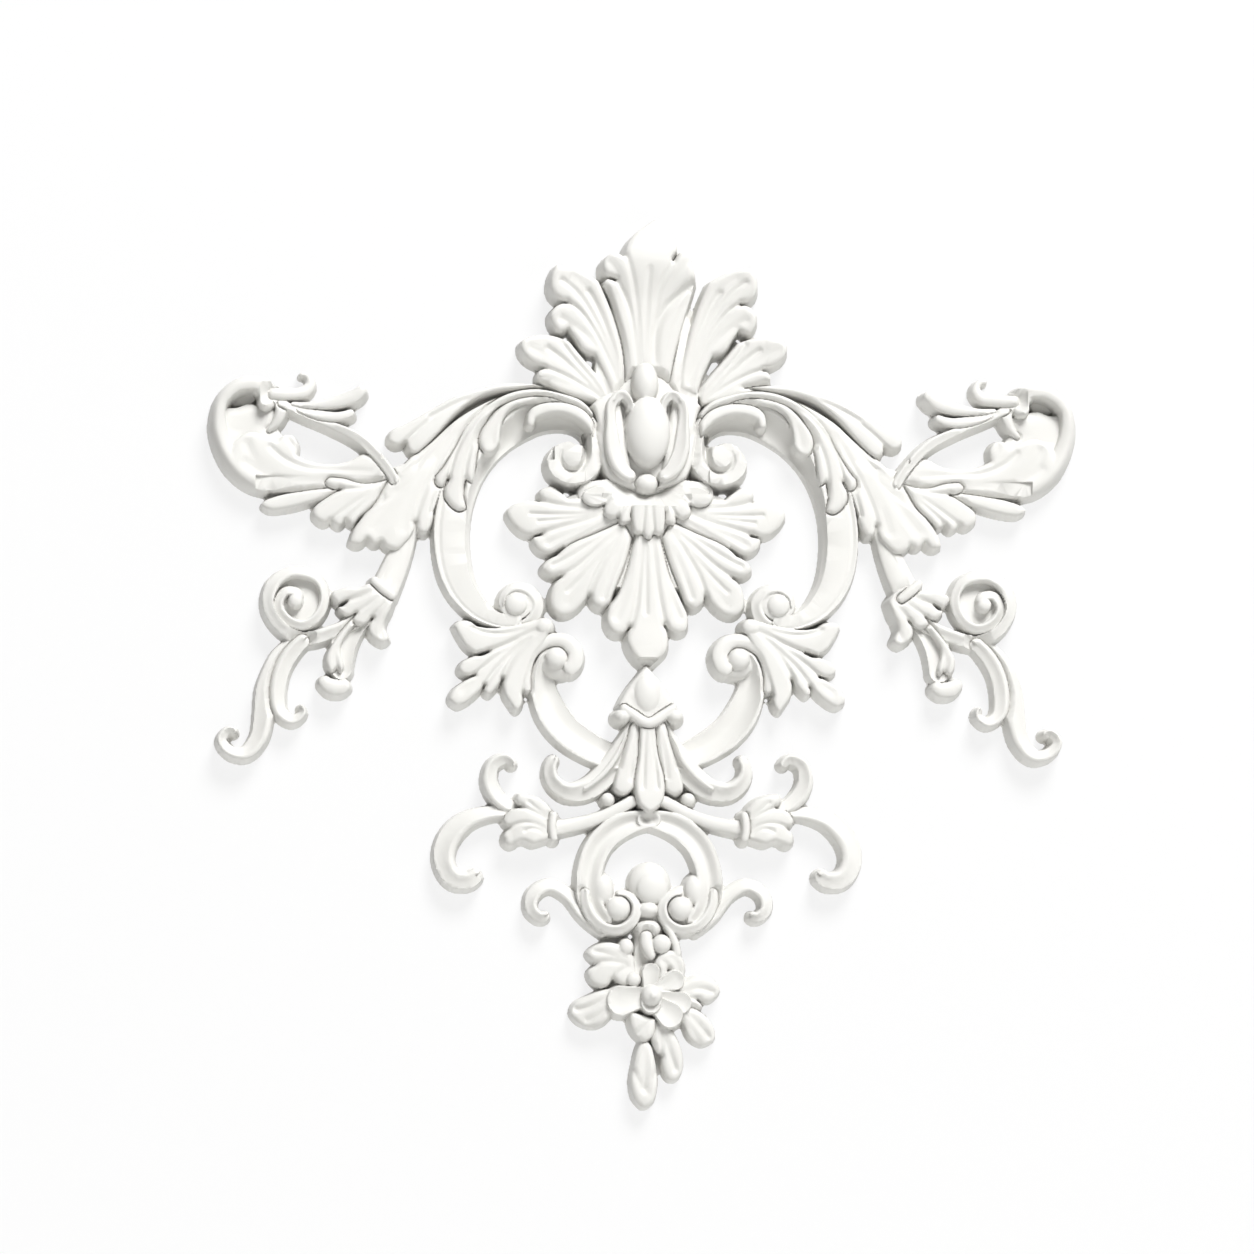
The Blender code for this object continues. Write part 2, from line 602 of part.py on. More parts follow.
side.stroke([(-344, 26), (-322, 20), (-304, 19), (-289, 25)], (4, 6, 6, 5), (25, 25, 25, 24), pad, 2, over=2)
side.stroke(
    [(-350, 32), (-324, 31), (-302, 35), (-286, 42), (-280, 50)],
    (3, 5, 7, 8, 6), (24, 23, 24, 26, 28), pad, 3, over=1,
)
side.stroke(
    [(-370, 41), (-353, 42), (-339, 45), (-333, 53), (-336, 61), (-345, 62)],
    (6, 7, 7, 7, 5, 3), (27, 24, 21, 18, 16, 15), pad, 4, over=1,
)

# The acanthus that wraps each great scroll. Its fingers lie over the band and the hood, and a broad
# leaf spreads from it down and out into the wing.
side = Motif((-2, -4))
side.leaf(
    [
        [(-140, 46), (-185, 22), (-216, -6), (-232, -18), (-246, -33), (-251, -45), (-262, -62)],
        [(-262, -62), (-272, -70), (-280, -78), (-290, -92), (-295, -106)],
        [(-295, -106), (-286, -110), (-277, -103)],
        [(-277, -103), (-270, -109), (-263, -106)],
        [(-263, -106), (-256, -113), (-246, -114), (-237, -106), (-230, -96), (-229, -86)],
        [(-229, -86), (-226, -96), (-219, -98), (-212, -88), (-210, -75)],
        [(-210, -75), (-203, -55), (-196, -32), (-182, 2), (-165, 24), (-140, 46)],
    ],
    [(-155, 40), (-190, 5), (-220, -40), (-258, -98)],
    (27, 29, 31, 31),
    [
        ([(-263, -64), (-246, -52), (-224, -24), (-196, 8)], 3, 3.5),
        ([(-229, -86), (-224, -66), (-208, -30), (-188, 6)], 3, 3),
        ([(-213, -76), (-210, -62), (-200, -36)], 2, 3),
        ([(-270, -92), (-248, -62), (-222, -24), (-198, 6)], 6, 1.5),
        ([(-240, -92), (-230, -62), (-210, -22)], 6, 1.5),
        ([(-262, -50), (-240, -38), (-216, -14)], 3, 2),
    ],
)
side.leaf(
    [
        [(-96, 54), (-120, 57), (-145, 56), (-170, 49), (-193, 41), (-214, 29), (-238, 15), (-254, 7),
         (-257, -3)],
        [(-257, -3), (-250, -9), (-238, -6)],
        [(-238, -6), (-236, -14), (-229, -17), (-219, -10), (-206, 3), (-192, 19), (-178, 32), (-160, 42),
         (-130, 48)],
        [(-130, 48), (-96, 54)],
    ],
    [(-110, 53), (-180, 36), (-225, 7), (-256, -3)],
    (29, 30, 30, 29),
    [
        ([(-240, -6), (-224, 9), (-202, 26), (-176, 39)], 2.5, 3),
        ([(-214, 21), (-196, 31), (-168, 43)], 2.5, 2),
    ],
    pillow=5, over=5,
)
side.leaf(
    [
        [(-50, 24), (-62, 38), (-84, 46), (-110, 50), (-137, 45), (-163, 29), (-179, 11), (-190, -10),
         (-202, -30), (-209, -38)],
        [(-209, -38), (-209, -48), (-202, -51), (-196, -42)],
        [(-196, -42), (-201, -58), (-196, -68), (-186, -75), (-178, -72), (-180, -58), (-178, -43)],
        [(-178, -43), (-172, -46), (-169, -36), (-166, -14), (-160, 6)],
        [(-160, 6), (-148, 28), (-120, 38), (-90, 32), (-62, 18), (-50, 24)],
    ],
    [(-56, 26), (-95, 42), (-140, 34), (-174, -5), (-194, -64)],
    (36, 37, 36, 34, 31),
    [
        ([(-196, -42), (-190, -20), (-178, 4), (-158, 26), (-132, 40), (-104, 45)], 2, 3.5),
        ([(-180, -50), (-178, -24), (-168, 2), (-150, 24), (-124, 38)], 2.5, 3),
    ],
    over=5,
)
side.leaf(
    [
        [(-62, 20), (-84, 38), (-112, 42), (-140, 34), (-158, 16), (-166, 2), (-166, -8)],
        [(-166, -8), (-160, -17), (-152, -16), (-144, -5)],
        [(-144, -5), (-143, 8), (-139, 20), (-128, 30), (-110, 34)],
        [(-110, 34), (-84, 28), (-62, 20)],
    ],
    [(-70, 26), (-110, 38), (-142, 26), (-156, -10)],
    (37, 38, 37, 34),
    [([(-152, -6), (-150, 8), (-140, 24), (-116, 36)], 4.5, 1.5)],
    pillow=5, over=5,
)
side.leaf(
    [
        [(-50, 14), (-60, 28), (-80, 36), (-104, 35), (-115, 29), (-119, 20)],
        [(-119, 20), (-118, 11), (-112, 10), (-108, 18)],
        [(-108, 18), (-98, 22), (-86, 23), (-72, 19), (-60, 10), (-52, 0)],
        [(-52, 0), (-50, 14)],
    ],
    [(-54, 12), (-80, 29), (-114, 20)],
    (38, 38, 36),
    pillow=5, over=5,
)

# The drops at the sides. A stem hangs from each wing and ends in a collar and a bell flower, beside
# a rolled volute and three tails that curl up at their ends.
stem = Motif((-1, -3), lift=5)
stem.stroke([(-234, -88), (-246, -122), (-260, -155)], (9, 13, 15), (19, 21, 24), tube, 6, tip=False)
side = Motif((8, -3), axis=-5, lift=7)
side.stroke([(-354, -168), (-355, -167)], (30, 30), (12, 12), pad, 1, tail=True)
side.stroke(
    [(-298, -186), (-322, -197), (-347, -203), (-370, -192), (-383, -170), (-378, -148), (-359, -137),
     (-336, -143), (-328, -162), (-335, -181), (-350, -190), (-366, -184), (-374, -170), (-367, -157),
     (-356, -158), (-354, -167)],
    (8, 8, 8, 8, 8, 8, 8, 7, 7, 6, 6, 6, 6, 6, 6, 6),
    (20, 21, 22, 23, 24, 25, 25, 24, 23, 21, 20, 20, 21, 22, 23, 24),
    ridged, 4,
)
side.stroke(
    [(-355, -206), (-373, -222), (-385, -250), (-388, -278), (-393, -302), (-406, -317), (-421, -315),
     (-429, -304), (-422, -295), (-414, -299)],
    (8, 10, 10, 11, 11, 10, 9, 7, 6, 5), (19, 19, 20, 20, 20, 20, 20, 21, 22, 22), turned_round(ridged), 5,
)
side.stroke(
    [(-350, -206), (-368, -230), (-374, -256), (-371, -276), (-360, -284), (-350, -277), (-354, -269)],
    (8, 9, 9, 9, 8, 6, 4), (19, 18, 18, 18, 19, 20, 20), ridged, 5, over=3,
)
side.stroke(
    [(-292, -182), (-306, -200), (-311, -220), (-310, -244)], (12, 14, 13, 10), (18, 18, 18, 17), scoop, 5,
)
side.stroke(
    [(-331, -242), (-324, -250), (-313, -252), (-305, -246)], (6, 9, 9, 6), (21, 22, 22, 21), pad, 4,
    tail=True, over=3,
)
side.leaf(
    [
        [(-296, -178), (-308, -190), (-320, -206), (-328, -222), (-326, -234)],
        [(-326, -234), (-321, -238), (-316, -234)],
        [(-316, -234), (-312, -238), (-308, -232), (-312, -214), (-304, -198), (-292, -186)],
        [(-292, -186), (-296, -178)],
    ],
    [(-296, -182), (-316, -210), (-320, -236)],
    (23, 24, 22),
    [([(-316, -234), (-316, -214), (-302, -192)], 3, 2.5)],
    pillow=5, over=4,
)
side.leaf(
    [
        [(-262, -158), (-280, -147), (-295, -152), (-308, -152), (-318, -155)],
        [(-318, -154), (-323, -162), (-314, -171), (-306, -166)],
        [(-306, -166), (-316, -174), (-308, -182), (-298, -179)],
        [(-298, -179), (-301, -187), (-291, -191), (-281, -183)],
        [(-281, -183), (-286, -194), (-283, -202), (-271, -209), (-264, -204), (-268, -192), (-264, -180)],
        [(-264, -180), (-261, -172), (-259, -164), (-262, -158)],
    ],
    [(-260, -156), (-275, -170), (-285, -185)],
    (29, 28, 25),
    [
        ([(-302, -165), (-288, -160), (-272, -150)], 3, 3),
        ([(-281, -183), (-272, -172), (-262, -160)], 3, 3),
        ([(-297, -178), (-282, -168), (-268, -156)], 2, 2),
        ([(-272, -200), (-268, -186), (-258, -168)], 3, 2),
    ],
    pillow=5, over=4,
)
side.ball(-357, -166, 7, 7, 25, 4)
stem.stroke([(-274, -143), (-262, -154), (-249, -164)], (5, 6, 5), (31, 32, 31), pad, 3, tail=True, over=4)

# The lower C scrolls, whose volutes face the middle, and the fan leaf that ties each one to the
# great scroll above it.
side = Motif((-2, -3))
side.stroke(
    [(-30, -320), (-58, -308), (-82, -290), (-97, -266), (-102, -244), (-98, -224)],
    (14, 16, 17, 17, 14, 10), (23, 24, 25, 26, 27, 29), turned_round(rimmed), (12, 12, 12, 12, 12, 10),
    tip=False,
)
side.ball(-86, -222, 20, 20, 28, 10)
side.stroke(
    [(-118, -252), (-118, -232), (-110, -214), (-95, -204), (-80, -205), (-70, -216), (-72, -229),
     (-82, -235)],
    (5, 6, 6, 7, 8, 9, 9, 8), (26, 27, 28, 29, 30, 31, 32, 32), pad, 3, over=4,
)
side.ball(-89, -222, 11, 11, 34, 8)
side.leaf(
    [
        [(-94, -194), (-97, -185), (-107, -183), (-124, -187), (-150, -191), (-168, -189)],
        [(-168, -189), (-176, -184), (-186, -184), (-192, -190)],
        [(-192, -190), (-186, -202), (-178, -213), (-166, -219), (-156, -215)],
        [(-156, -215), (-170, -219), (-183, -225), (-187, -234), (-181, -240), (-170, -239)],
        [(-170, -239), (-182, -245), (-193, -254), (-196, -264), (-187, -271), (-172, -263), (-160, -249)],
        [(-160, -249), (-161, -257), (-156, -260), (-149, -254), (-142, -242)],
        [(-142, -242), (-142, -257), (-136, -268), (-129, -276), (-123, -270), (-122, -258)],
        [(-122, -258), (-117, -242), (-110, -222), (-101, -208), (-94, -194)],
    ],
    [(-100, -192), (-125, -212), (-155, -235), (-190, -264)],
    (32, 30, 30, 29),
    [
        ([(-156, -215), (-138, -208), (-118, -198), (-104, -192)], 2.5, 4.5),
        ([(-160, -249), (-144, -228), (-124, -208), (-106, -195)], 2.5, 3.5),
        ([(-142, -242), (-132, -222), (-116, -204)], 3, 4.5),
        ([(-170, -239), (-152, -224), (-128, -206)], 2.5, 3.5),
        ([(-122, -258), (-116, -234), (-106, -208)], 2.5, 2.5),
        ([(-172, -192), (-150, -198), (-122, -193)], 2, 3),
        ([(-182, -254), (-158, -236), (-134, -214)], 4.5, 1.5),
    ],
    pillow=5,
)
side.ball(-101, -190, 9, 8, 34, 5)

# The side sprays under the husk. A stem leaves on each side and carries a small husk with carved
# scales, a hook that turns up and a tail that rolls under.
side = Motif((1, -3), lift=6)
side.stroke(
    [(-18, -364), (-52, -381), (-78, -388), (-98, -391)], (7, 7, 8, 9), (20, 20, 20, 21), tube, 5,
    tip=False,
)
side.stroke(
    [(-132, -372), (-150, -360), (-158, -343), (-154, -327), (-142, -322), (-134, -331)],
    (7, 9, 9, 8, 7, 5), (18, 19, 20, 21, 22, 22), turned_round(ridged), 5,
)
side.stroke(
    [(-132, -376), (-160, -376), (-184, -385), (-200, -404), (-203, -424), (-194, -440), (-178, -442),
     (-169, -432)],
    (7, 8, 10, 12, 12, 11, 10, 8), (19, 19, 20, 20, 20, 21, 22, 22), turned_round(ridged),
    (4, 6, 7, 7, 6, 5, 4, 4),
)
side.leaf(
    [
        [(-94, -376), (-106, -362), (-120, -357), (-131, -356)],
        [(-131, -356), (-134, -364), (-128, -370)],
        [(-128, -370), (-140, -374), (-146, -384), (-140, -391)],
        [(-140, -391), (-146, -400), (-138, -408), (-126, -405), (-116, -408), (-104, -405), (-94, -402)],
        [(-94, -402), (-94, -376)],
    ],
    [(-96, -388), (-115, -384), (-140, -386)],
    (25, 28, 24),
    [
        ([(-128, -370), (-114, -376), (-100, -384)], 2, 3),
        ([(-140, -391), (-126, -386), (-112, -388), (-102, -394)], 2, 3),
        ([(-124, -394), (-114, -392), (-104, -398)], 2, 2.5),
        ([(-120, -366), (-110, -374), (-100, -380)], 2, 2),
    ],
    pillow=6, over=4,
)
side.ball(-138, -402, 7, 7, 24)
side.stroke([(-94, -374), (-97, -390), (-94, -406)], (5, 5, 5), (28, 29, 28), pad, 3, tail=True, over=4)

# The husk between the lower scrolls: a bud in a pointed hood, a rolled collar with a knob at each
# end, and drapes that fall from it and turn up at the sides.
middle = Motif((-2, -4), whole=True)
side = Motif((-2, -4))
side.stroke(
    [(-8, -286), (-20, -308), (-37, -332), (-58, -350), (-79, -353), (-93, -342), (-95, -328), (-88, -318)],
    (10, 12, 13, 13, 12, 10, 8, 6), (29, 27, 26, 26, 27, 28, 28, 28), ridged, 6,
)
side.stroke([(-16, -288), (-26, -312), (-43, -336), (-64, -352)], (3, 4, 4, 3), (31, 30, 29, 28), pad, 3)
side.ball(-38, -361, 7, 7, 25)
side.leaf(
    [
        [(-2, -284), (-14, -284), (-20, -302), (-27, -325), (-32, -340), (-33, -352), (-24, -358),
         (-13, -352)],
        [(-13, -352), (-4, -335), (-2, -284)],
    ],
    [(-6, -286), (-14, -315), (-24, -354)],
    (31, 31, 30),
    [([(-16, -340), (-13, -315), (-8, -292)], 3, 2.5), ([(-26, -330), (-19, -306), (-12, -288)], 2, 2.5)],
    pillow=5, over=4,
)
middle.leaf(
    [
        [(-8, -284), (-9, -320), (-13, -345), (-12, -358), (-8, -368), (2, -376)],
        [(2, -376), (12, -370), (18, -358), (18, -340), (12, -315), (10, -284)],
        [(10, -284), (-8, -284)],
    ],
    [(2, -286), (3, -330), (3, -374)],
    (33, 33, 36),
    [([(-4, -350), (-3, -325), (-1, -295)], 2, 3), ([(10, -350), (8, -325), (5, -295)], 2, 3)],
    pillow=5, over=5,
)
middle.leaf(
    [
        [(-29, -268), (-21, -253), (-9, -237), (0, -227), (10, -237), (22, -253), (30, -268)],
        [(30, -268), (16, -276), (1, -284), (-14, -276), (-29, -268)],
    ],
    [(1, -228), (1, -250), (1, -284)],
    (29, 31, 33),
    pillow=5, over=3,
)
middle.ball(1, -257, 14, 20, 37, 9)
middle.stroke(
    [(-26, -268), (-14, -277), (2, -286), (18, -277), (30, -268)],
    (5, 6, 6, 6, 5), (35, 36, 37, 36, 35), pad, 3, tail=True, over=4,
)
side.ball(-24, -279, 8, 7, 37)

# The oval ring. Its band has two rims and closes on two small volutes with a knot between them, a
# shell stands inside it, and a hook springs from each side.
side = Motif((-2, -3), lift=3)
side.stroke(
    [(-44, -492), (-62, -476), (-78, -456), (-96, -447), (-112, -456), (-114, -471), (-104, -479),
     (-98, -473)],
    (7, 8, 8, 8, 8, 8, 7, 6), (19, 19, 19, 20, 21, 22, 23, 23), turned_round(ridged), 5,
)
side.stroke(
    [(6, -382), (-24, -388), (-46, -406), (-57, -434), (-56, -462), (-44, -482)],
    (9, 13, 14, 14, 13, 10), (23, 23, 23, 24, 25, 25), two_rims, 5, tip=False,
)
side.ball(-34, -468, 21, 21, 20, 8)
side.stroke(
    [(-62, -454), (-58, -474), (-45, -488), (-28, -491), (-14, -482), (-11, -467), (-20, -456), (-32, -455)],
    (5, 6, 6, 6, 6, 6, 5, 4), (25, 26, 27, 27, 27, 27, 26, 26), turned_round(ridged), 4, over=3,
)
side.ball(-29, -470, 12, 12, 31, 9)
middle = Motif((-2, -3), whole=True)
middle.ball(3, -446, 21, 22, 26, 12)
middle.ball(5, -450, 16, 16, 30, 8)
side.ball(-43, -452, 10, 15, 27, 8)
middle.stroke([(2, -462), (2, -500), (2, -530)], (14, 15, 15), (17, 16, 15), pad, 3)
middle.ball(1, -471, 11, 8, 30)
middle.ball(1, -490, 13, 9, 30)

# The flower spray that ends the ornament: an open flower with cupped petals, among leaves that
# spread from behind it and hang below it.
spray = Motif((-2, -3), whole=True, lift=5)
spray.stroke([(0, -500), (4, -530), (2, -575)], (14, 20, 22), (12, 11, 11), pad, 2, tail=True)
spray_leaves = (
    (
        [
            [(-12, -518), (-22, -507), (-38, -502), (-52, -505), (-61, -514), (-52, -525)],
            [(-52, -525), (-60, -533), (-55, -545), (-44, -549), (-34, -541)],
            [(-34, -541), (-22, -547), (-10, -537)],
            [(-10, -537), (-12, -518)],
        ],
        [(-10, -528), (-30, -525), (-56, -528)], (20, 21, 18),
        [
            ([(-52, -525), (-38, -522), (-20, -526)], 3, 3),
            ([(-34, -541), (-28, -532), (-16, -528)], 3, 3),
            ([(-52, -512), (-42, -514), (-30, -518)], 2.5, 2),
        ],
    ),
    (
        [
            [(6, -524), (14, -512), (28, -511), (38, -523), (37, -536), (30, -545)],
            [(30, -545), (26, -538), (21, -531)],
            [(21, -531), (18, -540), (12, -545)],
            [(12, -545), (7, -536), (6, -524)],
        ],
        [(8, -532), (22, -522), (34, -532)], (22, 22, 19),
        [([(21, -531), (18, -524), (12, -520)], 2.5, 2.5), ([(32, -532), (28, -522), (20, -518)], 3, 2)],
    ),
    (
        [
            [(-26, -548), (-44, -549), (-60, -555), (-73, -562), (-77, -573), (-68, -584), (-52, -588),
             (-40, -582), (-33, -570)],
            [(-33, -570), (-26, -548)],
        ],
        [(-28, -556), (-48, -562), (-66, -574)], (22, 21, 17),
        [([(-70, -569), (-54, -565), (-38, -554)], 3, 3), ([(-60, -580), (-48, -574), (-38, -566)], 3, 2)],
    ),
    (
        [
            [(28, -552), (36, -541), (51, -535), (67, -540), (73, -551), (62, -563), (50, -560)],
            [(50, -560), (55, -567), (46, -572), (37, -566)],
            [(37, -566), (28, -552)],
        ],
        [(32, -555), (50, -548), (68, -552)], (20, 21, 17),
        [([(64, -552), (48, -549), (36, -554)], 3, 2.5), ([(50, -560), (42, -558), (34, -558)], 2.5, 2.5)],
    ),
    (
        [
            [(28, -572), (42, -567), (56, -573), (67, -588), (67, -599), (54, -606), (42, -600), (36, -588)],
            [(36, -588), (28, -572)],
        ],
        [(34, -574), (48, -584), (60, -598)], (21, 20, 17),
        [([(60, -596), (49, -583), (40, -574)], 3, 3), ([(50, -600), (42, -588), (36, -580)], 3, 2)],
    ),
    (
        [
            [(6, -580), (2, -596), (6, -609), (13, -615)],
            [(13, -615), (13, -627), (19, -639), (28, -640), (35, -629), (35, -612), (29, -596), (20, -582)],
            [(20, -582), (6, -580)],
        ],
        [(12, -586), (20, -606), (27, -634)], (21, 20, 17),
        [([(27, -628), (20, -608), (14, -590)], 3, 3), ([(13, -615), (13, -602), (11, -590)], 2.5, 2.5)],
    ),
    (
        [
            [(-4, -592), (-11, -606), (-15, -622), (-18, -640), (-15, -657), (-5, -667), (5, -662),
             (10, -646), (9, -625), (5, -606)],
            [(5, -606), (-4, -592)],
        ],
        [(-4, -598), (-4, -630), (-4, -664)], (20, 20, 17),
        [
            ([(-14, -630), (-4, -648), (2, -652)], 3, 2.5),
            ([(8, -630), (0, -646), (-4, -650)], 3, 2.5),
            ([(-4, -646), (-3, -625), (-3, -606)], 4, 2.5),
        ],
    ),
    (
        [
            [(-18, -570), (-19, -584), (-13, -596), (-4, -602), (5, -596), (8, -578)],
            [(8, -578), (-18, -570)],
        ],
        [(-5, -572), (-5, -600)], (25, 24),
        [([(-10, -592), (-2, -584), (4, -576)], 3, 2.5)],
    ),
)
for outline, spine, heights, veins in spray_leaves:
    spray.leaf(outline, spine, heights, veins, over=2)
spray.stroke([(19, -488), (27, -503), (30, -519)], (4, 5, 5), (22, 22, 21), pad, 3)
spray.stroke([(-1, -498), (0, -508), (6, -520)], (7, 7, 5), (23, 24, 22), pad, 4, over=3)
spray.ball(-21, -508, 7, 8, 24, 5)
spray.ball(14, -505, 9, 9, 27, 6)
spray.ball(-14, -540, 7, 7, 25, 5)
spray_petals = (
    ([(2, -550), (3, -533)], (8, 10), (24, 24)),
    ([(6, -552), (26, -541)], (7, 11), (25, 26)),
    ([(2, -556), (-26, -561)], (9, 16), (26, 27)),
    ([(6, -558), (32, -563)], (8, 12), (25, 26)),
    ([(3, -560), (21, -575)], (8, 14), (27, 28)),
)
for path, widths, heights in spray_petals:
    spray.stroke(path, widths, heights, scoop, 4, tip=False, over=3)
spray.stroke([(3, -554), (2, -572)], (11, 11), (31, 30), scoop, 5, tail=True, over=4)
spray.ball(3, -556, 10, 10, 36, 8)
spray.ball(4, -557, 4, 4, 38)

clay.fill_crevices()

# The casting: plaster poured in the mould that was taken from the clay, with the flat back that it
# gets from being struck off level.
TRIANGLES = 7800  # facets of the front before it is cut off at the wall


def cast_front(front):
    """The grid of the front as a mesh, without what lies behind the wall plane."""
    rows, columns = front.high.shape
    x, z = np.meshgrid(front.x, front.z)
    points = np.stack([x * MODULE, -front.high * RISE, z * MODULE], axis=-1).reshape(-1, 3)
    index = np.arange(rows * columns).reshape(rows, columns)
    corners = (index[:-1, :-1], index[:-1, 1:], index[1:, 1:], index[1:, :-1])
    quads = np.stack(corners, axis=-1).reshape(-1, 4)
    quads = quads[(front.high.ravel()[quads] > 0.01 - SUNK).any(axis=1)]
    used, corners = np.unique(quads, return_inverse=True)
    mesh = bpy.data.meshes.new("rough_casting")
    mesh.vertices.add(len(used))
    mesh.vertices.foreach_set("co", points[used].astype(np.float32).ravel())
    mesh.loops.add(len(quads) * 4)
    mesh.loops.foreach_set("vertex_index", corners.ravel().astype(np.int32))
    mesh.polygons.add(len(quads))
    mesh.polygons.foreach_set("loop_start", np.arange(len(quads), dtype=np.int32) * 4)
    mesh.update(calc_edges=True)
    return mesh


def keep_largest(made):
    """Deletes all but the largest connected piece."""
    left = set(made.verts)
    pieces = []
    while left:
        piece = {left.pop()}
        todo = list(piece)
        while todo:
            for edge in todo.pop().link_edges:
                fresh = set(edge.verts) & left
                left -= fresh
                piece |= fresh
                todo.extend(fresh)
        pieces.append(piece)
    largest = max(pieces, key=len)
    bmesh.ops.delete(made, geom=[v for v in made.verts if v not in largest], context="VERTS")


def close_back(made):
    """Cuts the mesh at the wall plane and fills the cut."""
    geometry = made.verts[:] + made.edges[:] + made.faces[:]
    cut = bmesh.ops.bisect_plane(
        made, geom=geometry, plane_co=(0, 0, 0), plane_no=(0, 1, 0), clear_outer=True, dist=1e-7
    )
    rim = [e for e in cut["geom_cut"] if isinstance(e, bmesh.types.BMEdge)]
    bmesh.ops.triangle_fill(made, edges=rim, use_beauty=True, normal=(0, 1, 0))
    bmesh.ops.triangulate(made, faces=made.faces[:])
    bmesh.ops.recalc_face_normals(made, faces=made.faces[:])


rough = bpy.data.objects.new("rough_casting", cast_front(clay))
parts.objects.link(rough)
thin = rough.modifiers.new("thin", "DECIMATE")
thin.ratio = TRIANGLES / (2 * len(rough.data.polygons))
bpy.context.view_layer.update()
thinned = bpy.data.meshes.new_from_object(rough.evaluated_get(bpy.context.evaluated_depsgraph_get()))
bpy.data.objects.remove(rough)
solid = bmesh.new()
solid.from_mesh(thinned)
keep_largest(solid)
close_back(solid)
solid.to_mesh(thinned)
solid.free()
casting = bpy.data.objects.new("applique_casting", thinned)
parts.objects.link(casting)


def plaster():
    """Gypsum plaster, primed white."""
    made = bpy.data.materials.new("white_plaster")
    made.use_nodes = True
    shader = made.node_tree.nodes["Principled BSDF"]
    shader.inputs["Base Color"].default_value = (0.87, 0.86, 0.84, 1)
    shader.inputs["Roughness"].default_value = 0.6
    shader.inputs["Metallic"].default_value = 0.0
    return made


casting.data.materials.append(plaster())
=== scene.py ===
import math

import bmesh
import bpy
import numpy as np
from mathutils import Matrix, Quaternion, Vector
from mathutils.geometry import delaunay_2d_cdt


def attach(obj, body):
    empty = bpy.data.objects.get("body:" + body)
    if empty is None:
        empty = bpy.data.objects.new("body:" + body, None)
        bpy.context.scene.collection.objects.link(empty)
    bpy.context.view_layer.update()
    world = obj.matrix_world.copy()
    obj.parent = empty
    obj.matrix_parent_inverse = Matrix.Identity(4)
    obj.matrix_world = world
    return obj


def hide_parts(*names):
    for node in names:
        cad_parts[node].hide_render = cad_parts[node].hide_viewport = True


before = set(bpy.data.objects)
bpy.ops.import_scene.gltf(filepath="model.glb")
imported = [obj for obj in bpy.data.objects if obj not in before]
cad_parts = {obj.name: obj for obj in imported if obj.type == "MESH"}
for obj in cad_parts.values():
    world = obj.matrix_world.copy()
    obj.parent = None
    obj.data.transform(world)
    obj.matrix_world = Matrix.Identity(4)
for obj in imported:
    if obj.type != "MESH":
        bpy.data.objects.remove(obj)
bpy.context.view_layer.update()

# The clay original. The ornament is one casting from a mould, so the sculptor's clay had no
# undercuts: its front is a height over an even grid on the wall plane y = 0, and every leaf and
# scroll below is laid on it in the order that the sculptor would.
WIDTH = 0.600  # over the two wings
RELIEF = 0.034  # from the wall to the front of the egg
EDGE = 0.0013  # how far the rim of each form is rounded over
DRAFT = 0.12  # slope of the side walls, which lets the mould come off
GRAIN = 0.00062  # spacing of the grid
WEB = 0.0013  # half width of a crevice that the clay fills
WEB_HIGH = 0.004  # from the wall to the top of such a web
ACROSS = 876  # modules over the two wings
TOP = 236  # modules from the middle of the egg up to the edge of the sheet
BOTTOM = -680  # the same, down to its lower edge
STEPS = 50  # relief steps from the wall to the front of the egg
SUNK = 6  # steps that each form runs on behind the wall plane, to be cut off flat
MODULE = WIDTH / ACROSS  # the drawing's unit across and up
RISE = RELIEF / STEPS  # the height of one step
STEEP = MODULE / (DRAFT * RISE)  # steps that a side wall falls in one module
ROUND = EDGE / RISE  # the rounding of a rim, in steps
INSET = 1.5  # modules from a drawn edge in to where its form begins to fall
SPACING = 1.5  # modules between the points of a path
FINENESS = 24  # places that are worked out on a curve for each point of its drawing
MARGIN = 12  # modules of sheet beyond each wing
BANK = (0.2, 0.9)  # how a ditch's outer side starts, as a share of its depth, and climbs a module
CAP = 0.45  # most of a path that its rounded end takes up, as a share
THIN = 0.4  # least half width of a band, in modules
INNER = 9  # modules inside an edge, where the edge has no more effect
FADE = 0.75  # how much shallower a vein is at its end, as a share
SPREAD = 3  # half widths that are looked at beside a vein


# How a surface falls across a form: u runs from -1 on the right of its path to 1 on the left, r is
# the distance from the middle of the path, also past its ends, and t runs along it.
def pad(u, r, t):
    return -(r**2)


def tube(u, r, t):
    return np.sqrt(1 - r**2) - 1


def scoop(u, r, t):
    return r**2 - 1


def rimmed(u, r, t):
    """A narrow rim on the right of the path, and a hollow floor that runs to a low left edge."""
    q = np.clip(((u + 1) / 2 - 0.14) / 0.52, 0, 1)
    lip = np.clip((u - 0.80) / 0.20, 0, 1)
    return -np.sin(q * np.pi / 2) ** 0.9 + 0.12 * lip


def coved(u, r, t):
    """A flat face on the right, with a fine line inside its edge, and a cove on the left that is
    as wide as the band at the start of the path and narrows along it."""
    start = np.interp(t, (0.0, 0.24, 0.34, 0.46, 0.6), (-0.72, -0.62, -0.1, 0.4, 0.7))
    q = np.clip((u - start) / (0.85 * (1 - start)), 0, 1)
    line = np.clip(4 * t - 1, 0, 1) * np.exp(-(((u + 0.66) / 0.10) ** 2))
    return -np.sin(q * np.pi / 2) ** 0.8 - 0.14 * line


def ridged(u, r, t):
    """A crest right of the middle, rounded over outside it and hollow inside it."""
    v = u + 0.35
    outer = (np.minimum(v, 0) / 0.65) ** 2
    inner = 1 - (1 - np.clip(v / 1.35, 0, 1)) ** 2
    return -np.where(v < 0, 0.8 * outer, inner)


